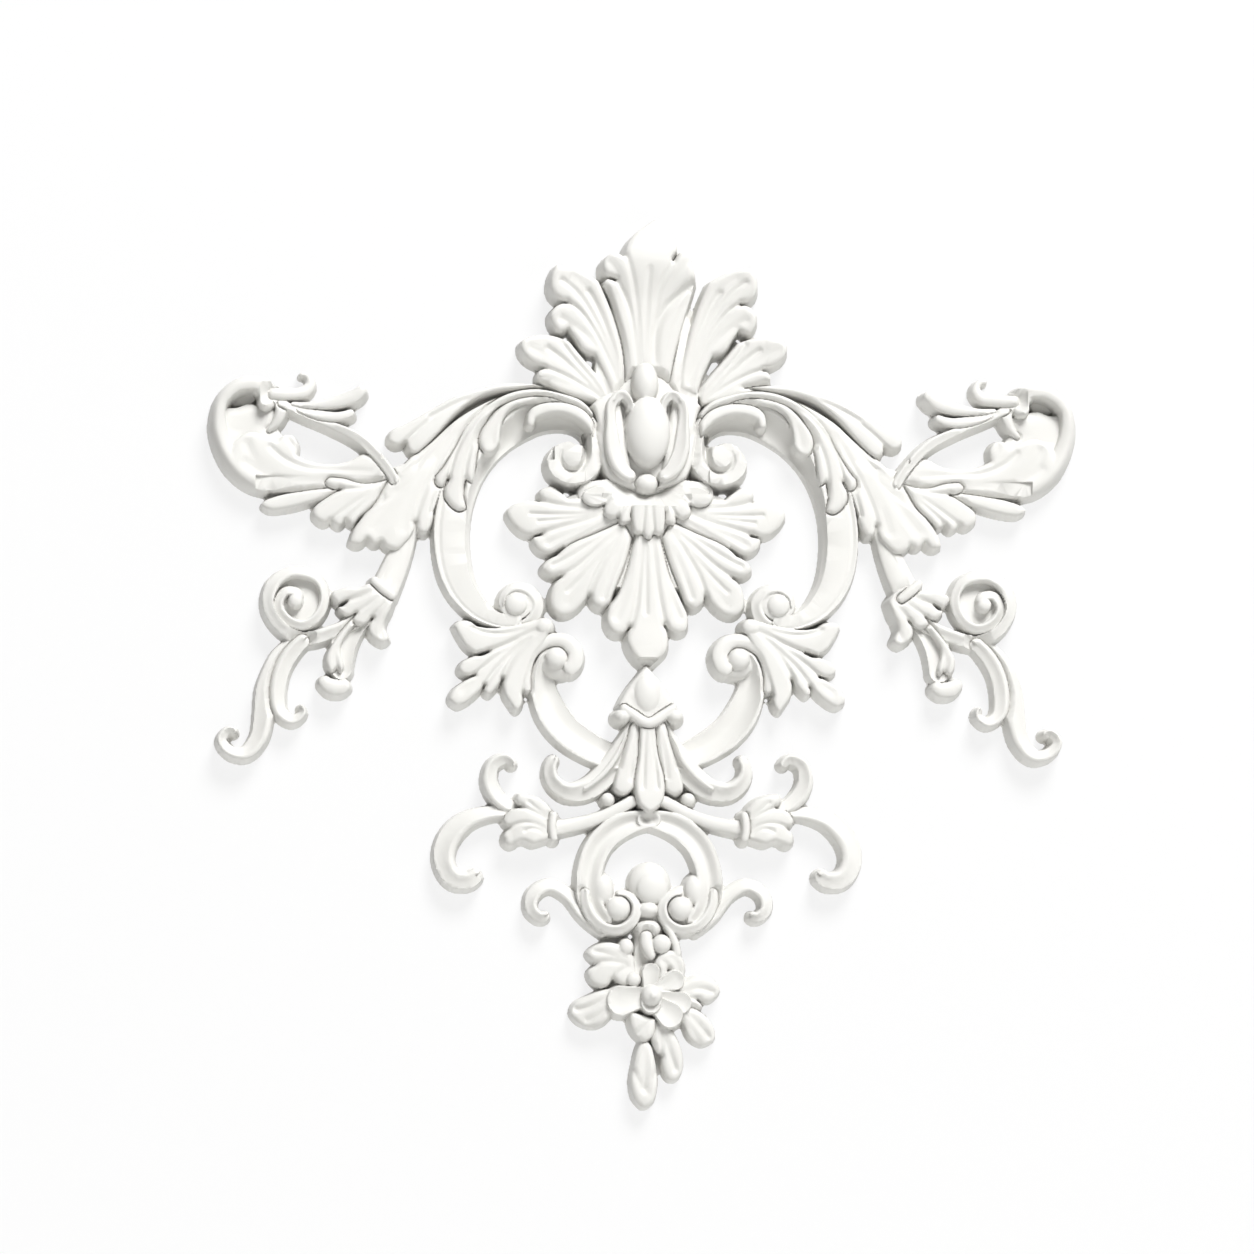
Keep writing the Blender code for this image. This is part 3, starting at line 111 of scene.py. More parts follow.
def rolled(u, r, t):
    """Nearly flat on the right of the path, and rolled far down on its left."""
    return -np.where(u > 0, u**2, 0.3 * u**2)


def two_rims(u, r, t):
    return -0.5 * (1 + np.cos(np.pi * np.clip(u / 0.72, -1, 1)))


def turned_round(section):
    """The same section with its left and right exchanged."""
    return lambda u, r, t: section(-u, r, t)


def eased(values, t):
    """Evenly spaced values read at t, from 0 to 1, on a smooth curve."""
    v = np.array(values, float)
    if len(v) < 3:
        return np.interp(t, np.linspace(0, 1, len(v)), v)
    slopes = np.gradient(v)
    x = t * (len(v) - 1)
    i = np.clip(x.astype(int), 0, len(v) - 2)
    s = x - i
    return (
        (2 * s**3 - 3 * s**2 + 1) * v[i]
        + (s**3 - 2 * s**2 + s) * slopes[i]
        + (3 * s**2 - 2 * s**3) * v[i + 1]
        + (s**3 - s**2) * slopes[i + 1]
    )


def smooth_path(points):
    """Points at even spacing along a smooth curve through the given ones, and its length."""
    p = np.array(points, float)
    knots = np.concatenate([[0], np.cumsum(np.linalg.norm(np.diff(p, axis=0), axis=1) ** 0.5)])
    slopes = np.gradient(p, knots, axis=0, edge_order=min(2, len(p) - 1))
    fine = np.linspace(0, knots[-1], FINENESS * len(p))
    i = np.clip(np.searchsorted(knots, fine, side="right") - 1, 0, len(p) - 2)
    h = (knots[i + 1] - knots[i])[:, None]
    s = (fine - knots[i])[:, None] / h
    curve = (
        (2 * s**3 - 3 * s**2 + 1) * p[i]
        + (s**3 - 2 * s**2 + s) * h * slopes[i]
        + (3 * s**2 - 2 * s**3) * p[i + 1]
        + (s**3 - s**2) * h * slopes[i + 1]
    )
    run = np.concatenate([[0], np.cumsum(np.linalg.norm(np.diff(curve, axis=0), axis=1))])
    even = np.linspace(0, run[-1], max(4, int(run[-1] / SPACING) + 1))
    return np.stack([np.interp(even, run, curve[:, k]) for k in (0, 1)], axis=1), run[-1]


def soft_fall(depth):
    """The drop past a form's edge, where depth is the distance inside it in modules. The edge is
    rounded over, and outside it the side wall falls at its draft."""
    wall = (depth - INSET) * STEEP
    blend = np.clip(0.5 + 0.5 * wall / ROUND, 0, 1)
    return wall * (1 - blend) - ROUND * blend * (1 - blend)


class Clay:
    """The front of the original, as heights over an even grid, in steps from the wall plane."""

    def __init__(self, spacing):
        half = int((ACROSS / 2 + MARGIN) / spacing)
        self.x = np.arange(-half, half + 1) * spacing
        self.z = np.arange(int(BOTTOM / spacing), int(TOP / spacing) + 1) * spacing
        self.high = np.full((len(self.z), len(self.x)), float(-SUNK))

    def window(self, points, margin):
        """The rows and columns that reach a margin past some points."""
        low = np.min(points, axis=0) - margin
        top = np.max(points, axis=0) + margin
        columns = slice(*np.searchsorted(self.x, (low[0], top[0])))
        rows = slice(*np.searchsorted(self.z, (low[1], top[1])))
        return rows, columns

    def near(self, line, reach, window):
        """For each grid point in the window: its distance from a line, how far along the line its
        nearest place is, from 0 to 1, and on which side it lies, 1 for the left."""
        x = self.x[window[1]]
        z = self.z[window[0]]
        far = np.full((len(z), len(x)), np.inf)
        share = np.zeros(far.shape)
        side = np.ones(far.shape)
        for k in range(len(line) - 1):
            a, b = line[k], line[k + 1]
            low = np.minimum(a, b) - reach
            top = np.maximum(a, b) + reach
            rows = slice(*np.searchsorted(z, (low[1], top[1])))
            box = (rows, slice(*np.searchsorted(x, (low[0], top[0]))))
            px = x[None, box[1]] - a[0]
            pz = z[box[0], None] - a[1]
            run = b - a
            f = np.clip((px * run[0] + pz * run[1]) / (run @ run), 0, 1)
            gone = np.hypot(px - f * run[0], pz - f * run[1])
            closer = gone < far[box]
            far[box] = np.where(closer, gone, far[box])
            share[box] = np.where(closer, (k + f) / (len(line) - 1), share[box])
            side[box] = np.where(closer, np.sign(run[0] * pz - run[1] * px), side[box])
        return far, share, side

    def inside(self, loop, window):
        """Which grid points in the window a closed line runs around."""
        x = self.x[window[1]]
        z = self.z[window[0]]
        found = np.zeros((len(z), len(x)), bool)
        for a, b in zip(loop, np.roll(loop, -1, axis=0)):
            rows = slice(*np.searchsorted(z, sorted((a[1], b[1]))))
            if rows.start < rows.stop:
                crossing = a[0] + (z[rows, None] - a[1]) * (b[0] - a[0]) / (b[1] - a[1])
                found[rows] ^= x[None, :] < crossing
        return found

    def lay(self, window, top, depth, trench, sides, axis):
        """Adds a form of the given surface, on each of the sides of the axis. A trench above 0 lays
        it over what is there, with a fine ditch of that depth along its edge. Otherwise it grows out
        of what is there."""
        form = top + soft_fall(depth)
        rows, columns = window
        count = len(self.x) + 2 * round(axis / (self.x[1] - self.x[0]))
        for side in sides:
            across = columns if side > 0 else slice(count - columns.stop, count - columns.start)
            there = self.high[rows, across][:, ::side]
            if trench > 0:
                bank = top - BANK[0] * trench - BANK[1] * depth
                limit = np.where(depth < 0, bank, top - trench)
                there = np.minimum(there, limit)
            self.high[rows, across] = np.maximum(there, form)[:, ::side]

    def fill_crevices(self):
        """Webs over what is too narrow to cast: gaps in the outline under twice WEB wide."""
        radius = WEB / MODULE / (self.x[1] - self.x[0])
        solid = grown(self.high > 0, radius)
        solid = ~grown(~solid, radius)
        web = np.where(solid, WEB_HIGH / RISE, -SUNK)
        self.high = np.maximum(self.high, web)


def grown(mask, radius):
    """The mask made larger on every side by a radius in grid cells."""
    cells = int(radius)
    wide = np.pad(mask, cells)
    found = np.zeros(mask.shape, bool)
    for down in range(-cells, cells + 1):
        for across in range(-cells, cells + 1):
            if np.hypot(down, across) <= radius:
                rows = slice(cells + down, cells + down + mask.shape[0])
                columns = slice(cells + across, cells + across + mask.shape[1])
                found |= wide[rows, columns]
    return found


class Motif:
    """One figure of the ornament. Its drawing is moved by shift and lifted off the wall, and its
    left half is repeated on the right of its axis unless it is drawn whole."""

    def __init__(self, shift, whole=False, axis=0.0, lift=0.0):
        self.shift = np.array(shift, float)
        self.sides = (1,) if whole else (1, -1)
        self.axis = axis
        self.lift = lift

    def stroke(self, path, widths, heights, section=pad, drop=4.0, tip=True, tail=False, over=0.0):
        """A band along a path. Widths are half widths, heights those of its crest, and drop is how
        far its section falls, one value or several along the path."""
        line, length = smooth_path(np.array(path, float) + self.shift)
        run = np.linspace(0, length, len(line))
        first = min(widths[0], CAP * length) if tail else 0
        last = length - (min(widths[-1], CAP * length) if tip else 0)
        even = np.linspace(first, last, max(2, int((last - first) / SPACING) + 1))
        line = np.stack([np.interp(even, run, line[:, k]) for k in (0, 1)], axis=1)
        heights = self.lift + np.array(heights)
        reach = max(widths) + 1 + (max(heights) + SUNK) / STEEP
        window = clay.window(line, reach)
        far, t, side = clay.near(line, reach, window)
        t = (first + t * (last - first)) / length
        width = np.maximum(eased(widths, t), THIN)
        r = np.minimum(far / width, 1)
        fall = eased(drop, t) if isinstance(drop, tuple) else drop
        top = eased(heights, t) + fall * section(side * r, r, t)
        clay.lay(window, top, np.maximum(width - far, -reach), over, self.sides, self.axis)

    def leaf(self, spans, spine, heights, veins=(), pillow=7.0, drop=4.5, over=0.0):
        """A leaf with a drawn outline, given as the lobes between its notches, of which each runs on
        from the end of the one before it. Its surface follows the heights along its spine, rounds
        down to its edge, and is cut by veins: each of them is (path, half width, depth), deepest at
        the start of its path."""
        heights = self.lift + np.array(heights)
        lobes = [[spans[k - 1][-1]] + span for k, span in enumerate(spans)]
        edge = np.concatenate([smooth_path(lobe)[0] for lobe in lobes]) + self.shift
        loop = edge[np.linalg.norm(edge - np.roll(edge, 1, axis=0), axis=1) > 1e-6]
        ring = np.concatenate([loop, loop[:1]])
        reach = max(pillow, 1 + (max(heights) + SUNK) / STEEP)
        window = clay.window(ring, reach)
        far, _, _ = clay.near(ring, reach, window)
        depth = np.where(clay.inside(loop, window), np.minimum(far, pillow), -np.minimum(far, reach))
        bones, _ = smooth_path(np.array(spine, float) + self.shift)
        _, t, _ = clay.near(bones, ACROSS, window)
        top = eased(heights, t) - drop * (1 - np.clip(depth / pillow, 0, 1)) ** 2
        for path, width, cut in veins:
            line, _ = smooth_path(np.array(path, float) + self.shift)
            away, along, _ = clay.near(line, SPREAD * width, window)
            away = np.minimum(away, SPREAD**2 * width)
            top = top - cut * (1 - FADE * along) * np.exp(-((away / width) ** 2))
        clay.lay(window, top, depth, over, self.sides, self.axis)

    def ball(self, x, z, wide, tall, height, depth=None):
        """An egg or knob whose front stands at height, and whose rim is depth behind that."""
        depth = depth or wide
        height = height + self.lift
        spot = np.array((x, z)) + self.shift
        reach = max(wide, tall) + (height + SUNK) / STEEP
        window = clay.window(spot[None, :], reach)
        across = (clay.x[None, window[1]] - spot[0]) / wide
        up = (clay.z[window[0], None] - spot[1]) / tall
        r = np.hypot(across, up)
        dome = height - depth + depth * np.sqrt(np.maximum(1 - r**2, 0))
        top = np.where(r < 1, dome, dome - (r - 1) * min(wide, tall) * STEEP)
        clay.lay(window, top, np.full(top.shape, INNER), 0, self.sides, self.axis)


clay = Clay(GRAIN / MODULE)

# The crest of acanthus above the egg. It is modelled as a bed that the leaves grow from, two leaves
# on each side with curled tips, and a middle leaf whose head rolls forward over the front.
side = Motif((0, -5), axis=8)
side.leaf(
    [
        [(-48, 68), (-62, 84), (-76, 101)],
        [(-88, 105), (-98, 107), (-112, 106), (-124, 101), (-127, 97)],
        [(-126, 89), (-119, 80), (-103, 73)],
        [(-109, 69), (-110, 61), (-98, 54)],
        [(-80, 46), (-60, 40), (-40, 36)],
        [(-34, 50)],
    ],
    [(-38, 46), (-70, 64), (-96, 82), (-122, 95)],
    (25, 27, 30, 36),
    [
        ([(-103, 73), (-88, 68), (-66, 57), (-44, 42)], 2.5, 3.5),
        ([(-98, 92), (-80, 79), (-60, 60), (-44, 43)], 3, 3),
        ([(-84, 98), (-70, 80), (-54, 62), (-42, 46)], 2.5, 3),
        ([(-116, 92), (-95, 82), (-74, 68)], 5, 1.5),
        ([(-100, 60), (-80, 56), (-60, 47)], 4.5, 1.5),
    ],
)
side.leaf(
    [
        [(-22, 90), (-33, 130), (-47, 162)],
        [(-56, 167), (-70, 173), (-82, 175), (-91, 177)],
        [(-96, 166), (-97, 154), (-92, 144), (-80, 139)],
        [(-90, 136), (-97, 127), (-95, 116), (-88, 108), (-78, 112)],
        [(-72, 102), (-64, 90), (-52, 86)],
        [(-46, 74), (-41, 62), (-36, 46)],
        [(-16, 52)],
    ],
    [(-26, 52), (-40, 95), (-60, 135), (-86, 170)],
    (26, 29, 33, 41),
    [
        ([(-80, 139), (-68, 132), (-54, 114), (-40, 88), (-28, 58)], 2.5, 3.5),
        ([(-84, 160), (-68, 147), (-50, 120), (-36, 90), (-26, 60)], 3, 3),
        ([(-58, 150), (-46, 128), (-34, 98), (-24, 66)], 3, 3),
        ([(-84, 122), (-68, 112), (-52, 98), (-36, 72)], 4, 2),
        ([(-74, 164), (-58, 150), (-44, 124)], 6, 2),
    ],
    over=5,
)
middle = Motif((-3, -5), whole=True)
middle.stroke([(5, 40), (5, 100), (5, 140)], (52, 52, 34), (25, 25, 22), pad, 3)
middle.leaf(
    [
        [(-20, 90), (-25, 114), (-34, 142), (-41, 157), (-37, 163), (-28, 162)],
        [(-40, 167), (-41, 180), (-32, 189), (-20, 186)],
        [(-16, 199), (-8, 210), (3, 219), (15, 226), (26, 216), (34, 202), (35, 190), (30, 182)],
        [(38, 191), (46, 188), (51, 176), (54, 162)],
        [(50, 146), (42, 120), (34, 90), (28, 60)],
        [(-18, 60)],
    ],
    [(5, 60), (5, 110), (6, 155), (8, 185), (12, 222)],
    (28, 31, 35, 45, 38),
    [
        ([(-28, 162), (-14, 134), (-8, 100), (-6, 72)], 2.5, 3),
        ([(50, 158), (34, 145), (22, 132), (14, 112), (13, 78)], 4, 6),
        ([(48, 150), (38, 128), (30, 100), (25, 76)], 3, 2.5),
        ([(-36, 152), (-26, 124), (-18, 96), (-14, 70)], 2.5, 3),
        ([(-17, 184), (-8, 148), (-4, 105), (-3, 78)], 3, 2.5),
        ([(31, 180), (16, 150), (11, 110), (10, 80)], 3, 2.5),
        ([(6, 172), (4, 140), (3, 90)], 3, 2),
        ([(-34, 178), (-22, 160), (-14, 130)], 4.5, 2),
        ([(44, 178), (32, 162), (22, 140)], 5, 2),
    ],
    drop=5,
    over=5,
)

# The two C scrolls that frame the middle. Each is a broad band with a raised outer rim: at the top
# it is hollowed deep under its hood, and it ends in a big volute above and a small one below.
side = Motif((-2, -4))
side.stroke(
    [(-50, -6), (-58, 12), (-72, 22), (-95, 26), (-120, 21), (-150, 2), (-176, -32), (-190, -72),
     (-192, -112), (-184, -146), (-166, -171), (-144, -183), (-122, -182)],
    (9, 13, 17, 20, 20, 19, 19, 19, 19, 18, 15, 10, 7),
    (36, 36, 36, 35, 33, 30, 28, 27, 26, 26, 26, 27, 29),
    coved,
    (22, 24, 24, 23, 22, 19, 16, 12, 9, 8, 8, 8, 8),
)
side.stroke(
    [(-126, -188), (-112, -181), (-107, -166), (-116, -153), (-130, -150), (-141, -158), (-142, -170)],
    (5, 7, 7, 7, 6, 5, 3), (27, 28, 29, 30, 31, 31, 31), turned_round(ridged), 4,
)
side.ball(-129, -165, 17, 17, 29, 2)
side.ball(-129, -167, 11, 11, 34, 5)
side.leaf(
    [
        [(-91, -9), (-99, -24), (-94, -39), (-78, -48), (-60, -46), (-47, -36), (-41, -18),
         (-46, 4), (-56, 18)],
        [(-58, 6), (-63, -6), (-75, -3)],
    ],
    [(-50, 6), (-50, -30), (-75, -40), (-90, -20), (-76, -8)],
    (37, 38, 39, 40, 41),
    [
        ([(-60, 4), (-58, -10), (-59, -22), (-66, -32), (-76, -33), (-84, -25), (-83, -14)], 3.5, 20),
        ([(-60, 8), (-60, -4), (-60, -16)], 5, 12),
    ],
    pillow=6, over=4,
)
side.ball(-73, -20, 9, 9, 44, 6)

# The palmette that hangs below the egg: five long leaves with scalloped lobes on a bed, and a
# collar of small leaves in front of their roots.
middle = Motif((-2, -4), whole=True)
middle.stroke([(-84, -76), (1, -86), (86, -76)], (20, 42, 20), (26, 29, 26), pad, 2, tail=True)
middle.stroke([(-66, -54), (1, -58), (68, -54)], (12, 22, 12), (29, 33, 29), pad, 2, tail=True)
middle.stroke([(-52, -126), (1, -118), (54, -126)], (22, 38, 22), (27, 29, 27), pad, 2, tail=True)
middle.stroke([(2, -120), (2, -182)], (26, 16), (28, 26), pad, 2)
side = Motif((-2, -4), lift=4)
side.stroke([(-30, -84), (-82, -108)], (8, 6), (26, 25), pad, 1)
side.leaf(
    [
        [(-60, -59), (-76, -60)],
        [(-84, -53), (-95, -47), (-106, -53), (-105, -62)],
        [(-120, -62), (-132, -66), (-139, -75), (-131, -90), (-119, -98), (-103, -96)],
        [(-113, -101), (-109, -112), (-98, -117), (-87, -113)],
        [(-70, -104), (-50, -94), (-32, -84)],
        [(-38, -58)],
    ],
    [(-35, -70), (-80, -77), (-115, -80), (-137, -80)],
    (27, 27, 25, 22),
    [
        ([(-103, -96), (-84, -90), (-60, -83), (-42, -76)], 3, 3.5),
        ([(-105, -62), (-88, -67), (-60, -70)], 3, 3.5),
        ([(-114, -76), (-90, -77), (-60, -76)], 2, 2.5),
        ([(-106, -84), (-86, -82), (-60, -79)], 2, 2),
        ([(-96, -106), (-80, -98), (-62, -90)], 4, 2),
    ],
)
side.leaf(
    [
        [(-50, -95), (-75, -106), (-88, -117)],
        [(-100, -124), (-104, -132), (-97, -139), (-84, -139)],
        [(-92, -147), (-96, -158), (-95, -170), (-86, -179), (-73, -177), (-56, -158)],
        [(-53, -167), (-45, -172), (-37, -168), (-33, -161)],
        [(-28, -148), (-20, -128), (-12, -100)],
        [(-22, -82)],
    ],
    [(-18, -85), (-40, -110), (-62, -140), (-82, -172)],
    (29, 29, 28, 25),
    [
        ([(-84, -139), (-66, -128), (-46, -110), (-28, -94)], 3, 3.5),
        ([(-56, -158), (-50, -140), (-38, -118), (-24, -96)], 3, 3.5),
        ([(-92, -128), (-72, -118), (-48, -102), (-32, -92)], 2.5, 2.5),
        ([(-78, -154), (-60, -136), (-42, -114)], 2.5, 2),
        ([(-42, -160), (-36, -142), (-24, -112)], 3, 2),
        ([(-76, -166), (-62, -146), (-46, -124)], 5.5, 1.5),
    ],
    over=4,
)
middle = Motif((-2, -4), whole=True, lift=4)
middle.leaf(
    [
        [(-14, -110), (-19, -132), (-29, -158), (-38, -171), (-40, -185), (-34, -196),
         (-25, -198), (-16, -190)],
        [(-20, -203), (-15, -217), (-7, -226), (2, -231), (12, -224), (21, -214), (23, -201),
         (19, -188)],
        [(25, -194), (33, -197), (41, -193), (43, -180), (35, -160), (25, -138), (18, -110),
         (12, -85)],
        [(-8, -85)],
    ],
    [(2, -85), (2, -140), (2, -190), (2, -228)],
    (30, 30, 30, 33),
    [
        ([(-16, -190), (-10, -168), (-6, -135), (-3, -100)], 3, 3.5),
        ([(19, -188), (14, -164), (10, -132), (7, -100)], 3, 3.5),
        ([(0, -176), (0, -150), (1, -110)], 2.5, 2.5),
        ([(-30, -180), (-20, -155), (-11, -120)], 4, 2),
        ([(34, -180), (25, -156), (15, -122)], 4, 2),
    ],
    over=4,
)
side.leaf(
    [
        [(-32, -48), (-48, -48), (-62, -54)],
        [(-64, -62), (-56, -69), (-41, -68)],
        [(-42, -77), (-35, -82), (-27, -80)],
        [(-25, -88), (-18, -87), (-8, -78), (-6, -50)],
        [(-18, -42)],
    ],
    [(-12, -50), (-28, -58), (-52, -62)],
    (37, 36, 34),
    [
        ([(-40, -62), (-30, -54), (-20, -51)], 3, 5),
        ([(-41, -68), (-28, -60), (-16, -54)], 2, 3),
        ([(-27, -80), (-20, -68), (-12, -56)], 2, 3),
    ],
    pillow=5, over=5,
)
middle.leaf(
    [
        [(-14, -62), (-15, -84), (-12, -96), (-4, -98)],
        [(3, -103), (8, -98)],
        [(17, -97), (20, -84), (19, -62), (15, -44)],
        [(-10, -44)],
    ],
    [(3, -44), (3, -75), (3, -100)],
    (39, 39, 37),
    [([(-4, -98), (-2, -75), (0, -52)], 2, 3), ([(8, -98), (6, -75), (5, -52)], 2, 3)],
    pillow=5, over=5,
)

# The egg in its frame. Two hooked bands rise on each side of it and curl in over its top, an outer
# shell lies behind them, and there is a bud above the egg and a berry below.
middle = Motif((-4, -6), whole=True)
middle.stroke([(5, 62), (5, 0), (5, -46)], (24, 38, 22), (25, 26, 24), pad, 4, tail=True, over=2)
side = Motif((-4, -6))
side.leaf(
    [
        [(-40, 46), (-52, 36)],
        [(-48, 26), (-46, 16), (-47, 6)],
        [(-44, -8), (-42, -24), (-36, -38)],
        [(-20, -46), (-6, -48)],
        [(-14, -10), (-22, 52)],
    ],
    [(-30, 48), (-34, 0), (-16, -44)],
    (32, 34, 31),
    [([(-46, 10), (-38, -4), (-34, -26)], 4, 2.5)],
    pillow=5, over=1,
)
side.stroke(
    [(-14, 27), (-13, 36), (-21, 45), (-31, 36), (-32, 12), (-29, -14), (-20, -31), (-8, -38)],
    (4, 5, 6, 6, 8, 9, 9, 6), (40, 42, 43, 43, 43, 42, 41, 39), ridged, 4, tail=True, over=2,
)
middle.stroke([(5, 20), (5, -16)], (24, 24), (36, 34), pad, 2, tail=True)
side.stroke([(-14, 27), (-13, 36), (-21, 45), (-30, 36)], (4, 5, 6, 6), (40, 42, 43, 43), ridged, tail=True)
middle.ball(5, 9, 22, 35, 50, 15)
middle.ball(3, 58, 13, 21, 43)
middle.ball(4, -43, 11, 10, 36, 9)

# The wings. A leaf runs out to each end and rolls up there into a hood, a thin stem closes the loop
# above it, and two sprigs and a small curl stand on the stem.
side = Motif((-2, -3), lift=6)
side.stroke([(-416, 36), (-402, 42), (-386, 38)], (12, 12, 12), (8, 8, 10), pad, 1, tail=True)
side.stroke([(-236, -40), (-268, -50), (-300, -56)], (14, 14, 12), (24, 23, 20), pad, 2)
side.stroke([(-258, -56), (-284, -78)], (12, 9), (23, 20), pad, 2)
side.leaf(
    [
        [(-408, 29), (-394, 33), (-380, 30), (-366, 26)],
        [(-364, 8), (-352, -10), (-350, -40), (-390, -48)],
        [(-412, -36), (-424, -4), (-424, 31)],
    ],
    [(-400, 28), (-402, 5), (-390, -30)],
    (19, 18, 19),
    pillow=12, drop=3,
)
side.stroke(
    [(-372, -54), (-391, -46), (-408, -30), (-420, -10), (-425, 12), (-421, 34), (-406, 48), (-388, 51),
     (-370, 46)],
    (6, 10, 12, 11, 10, 8, 8, 8, 8), (20, 23, 25, 26, 28, 31, 33, 33, 30), rolled,
    (8, 13, 17, 17, 16, 13, 11, 8, 5), tail=True,
)
side.stroke([(-384, 47), (-377, 40), (-377, 32), (-382, 28)], (8, 9, 9, 7), (31, 32, 33, 33), pad, 5)
side.stroke([(-368, 42), (-362, 30), (-365, 16), (-376, 4)], (8, 7, 6, 3), (31, 27, 24, 20), pad, 4, over=2)
side.leaf(
    [
        [(-402, 0), (-390, 4), (-378, 1), (-366, -4)],
        [(-358, 2), (-350, 1), (-344, -7), (-345, -19)],
        [(-330, -25), (-310, -27), (-295, -24), (-280, -17), (-266, -22), (-248, -38)],
        [(-275, -51), (-310, -54), (-350, -57), (-378, -56), (-400, -46), (-414, -28),
         (-414, -14)],
    ],
    [(-250, -38), (-300, -40), (-350, -35), (-404, -25)],
    (24, 21, 21, 25),
    [
        ([(-372, -12), (-358, -24), (-338, -32), (-308, -34), (-272, -36)], 3, 2.5),
        ([(-354, -4), (-346, -14), (-328, -26)], 3, 2.5),
        ([(-396, -28), (-370, -42), (-325, -46), (-275, -42)], 5, 2),
        ([(-396, -10), (-388, -24), (-370, -34)], 5, 2),
    ],
)
side.leaf(
    [
        [(-300, -50), (-335, -54), (-360, -58), (-376, -63)],
        [(-382, -70), (-374, -76), (-358, -75), (-335, -69)],
        [(-310, -63), (-280, -57), (-264, -52)],
        [(-264, -46)],
    ],
    [(-268, -50), (-310, -57), (-374, -70)],
    (22, 21, 19),
    pillow=5, over=3,
)
side.leaf(
    [
        [(-280, -47), (-300, -42), (-314, -41)],
        [(-319, -48), (-312, -54), (-304, -54)],
        [(-318, -62), (-330, -72), (-331, -81), (-321, -89), (-313, -86)],
        [(-305, -92), (-298, -86)],
        [(-290, -90), (-284, -83), (-272, -72), (-266, -64)],
        [(-254, -42)],
    ],
    [(-258, -48), (-285, -62), (-322, -80)],
    (25, 24, 22),
    [
        ([(-304, -54), (-284, -53), (-264, -49)], 2.5, 3),
        ([(-313, -86), (-292, -70), (-268, -54)], 2.5, 2.5),
        ([(-298, -86), (-284, -72), (-264, -56)], 2.5, 2.5),
    ],
    over=4,
)
side.stroke(
    [(-250, -44), (-262, -26), (-284, -4), (-312, 10), (-338, 21), (-366, 34)],
    (6, 6, 6, 5, 5, 5), (26, 27, 27, 26, 26, 28), ridged, 3, over=4,
)
side.stroke([(-344, 26), (-322, 20), (-304, 19), (-289, 25)], (4, 6, 6, 5), (25, 25, 25, 24), pad, 2, over=2)
side.stroke(
    [(-350, 32), (-324, 31), (-302, 35), (-286, 42), (-280, 50)],
    (3, 5, 7, 8, 6), (24, 23, 24, 26, 28), pad, 3, over=1,
)
side.stroke(
    [(-370, 41), (-353, 42), (-339, 45), (-333, 53), (-336, 61), (-345, 62)],
    (6, 7, 7, 7, 5, 3), (27, 24, 21, 18, 16, 15), pad, 4, over=1,
)

# The acanthus that wraps each great scroll. Its fingers lie over the band and the hood, and a broad
# leaf spreads from it down and out into the wing.
side = Motif((-2, -4))
side.leaf(
    [
        [(-185, 22), (-216, -6), (-232, -18), (-246, -33), (-251, -45), (-262, -62)],
        [(-272, -70), (-280, -78), (-290, -92), (-295, -106)],
        [(-286, -110), (-277, -103)],
        [(-270, -109), (-263, -106)],
        [(-256, -113), (-246, -114), (-237, -106), (-230, -96), (-229, -86)],
        [(-226, -96), (-219, -98), (-212, -88), (-210, -75)],
        [(-203, -55), (-196, -32), (-182, 2), (-165, 24), (-140, 46)],
    ],
    [(-155, 40), (-190, 5), (-220, -40), (-258, -98)],
    (27, 29, 31, 31),
    [
        ([(-263, -64), (-246, -52), (-224, -24), (-196, 8)], 3, 3.5),
        ([(-229, -86), (-224, -66), (-208, -30), (-188, 6)], 3, 3),
        ([(-213, -76), (-210, -62), (-200, -36)], 2, 3),
        ([(-270, -92), (-248, -62), (-222, -24), (-198, 6)], 6, 1.5),
        ([(-240, -92), (-230, -62), (-210, -22)], 6, 1.5),
        ([(-262, -50), (-240, -38), (-216, -14)], 3, 2),
    ],
)
side.leaf(
    [
        [(-120, 57), (-145, 56), (-170, 49), (-193, 41), (-214, 29), (-238, 15), (-254, 7),
         (-257, -3)],
        [(-250, -9), (-238, -6)],
        [(-236, -14), (-229, -17), (-219, -10), (-206, 3), (-192, 19), (-178, 32), (-160, 42),
         (-130, 48)],
        [(-96, 54)],
    ],
    [(-110, 53), (-180, 36), (-225, 7), (-256, -3)],
    (29, 30, 30, 29),
    [
        ([(-240, -6), (-224, 9), (-202, 26), (-176, 39)], 2.5, 3),
        ([(-214, 21), (-196, 31), (-168, 43)], 2.5, 2),
    ],
    pillow=5, over=5,
)
side.leaf(
    [
        [(-62, 38), (-84, 46), (-110, 50), (-137, 45), (-163, 29), (-179, 11), (-190, -10),
         (-202, -30), (-209, -38)],
        [(-209, -48), (-202, -51), (-196, -42)],
        [(-201, -58), (-196, -68), (-186, -75), (-178, -72), (-180, -58), (-178, -43)],
        [(-172, -46), (-169, -36), (-166, -14), (-160, 6)],
        [(-148, 28), (-120, 38), (-90, 32), (-62, 18), (-50, 24)],
    ],
    [(-56, 26), (-95, 42), (-140, 34), (-174, -5), (-194, -64)],
    (36, 37, 36, 34, 31),
    [
        ([(-196, -42), (-190, -20), (-178, 4), (-158, 26), (-132, 40), (-104, 45)], 2, 3.5),
        ([(-180, -50), (-178, -24), (-168, 2), (-150, 24), (-124, 38)], 2.5, 3),
    ],
    over=5,
)
side.leaf(
    [
        [(-84, 38), (-112, 42), (-140, 34), (-158, 16), (-166, 2), (-166, -8)],
        [(-160, -17), (-152, -16), (-144, -5)],
        [(-143, 8), (-139, 20), (-128, 30), (-110, 34)],
        [(-84, 28), (-62, 20)],
    ],
    [(-70, 26), (-110, 38), (-142, 26), (-156, -10)],
    (37, 38, 37, 34),
    [([(-152, -6), (-150, 8), (-140, 24), (-116, 36)], 4.5, 1.5)],
    pillow=5, over=5,
)
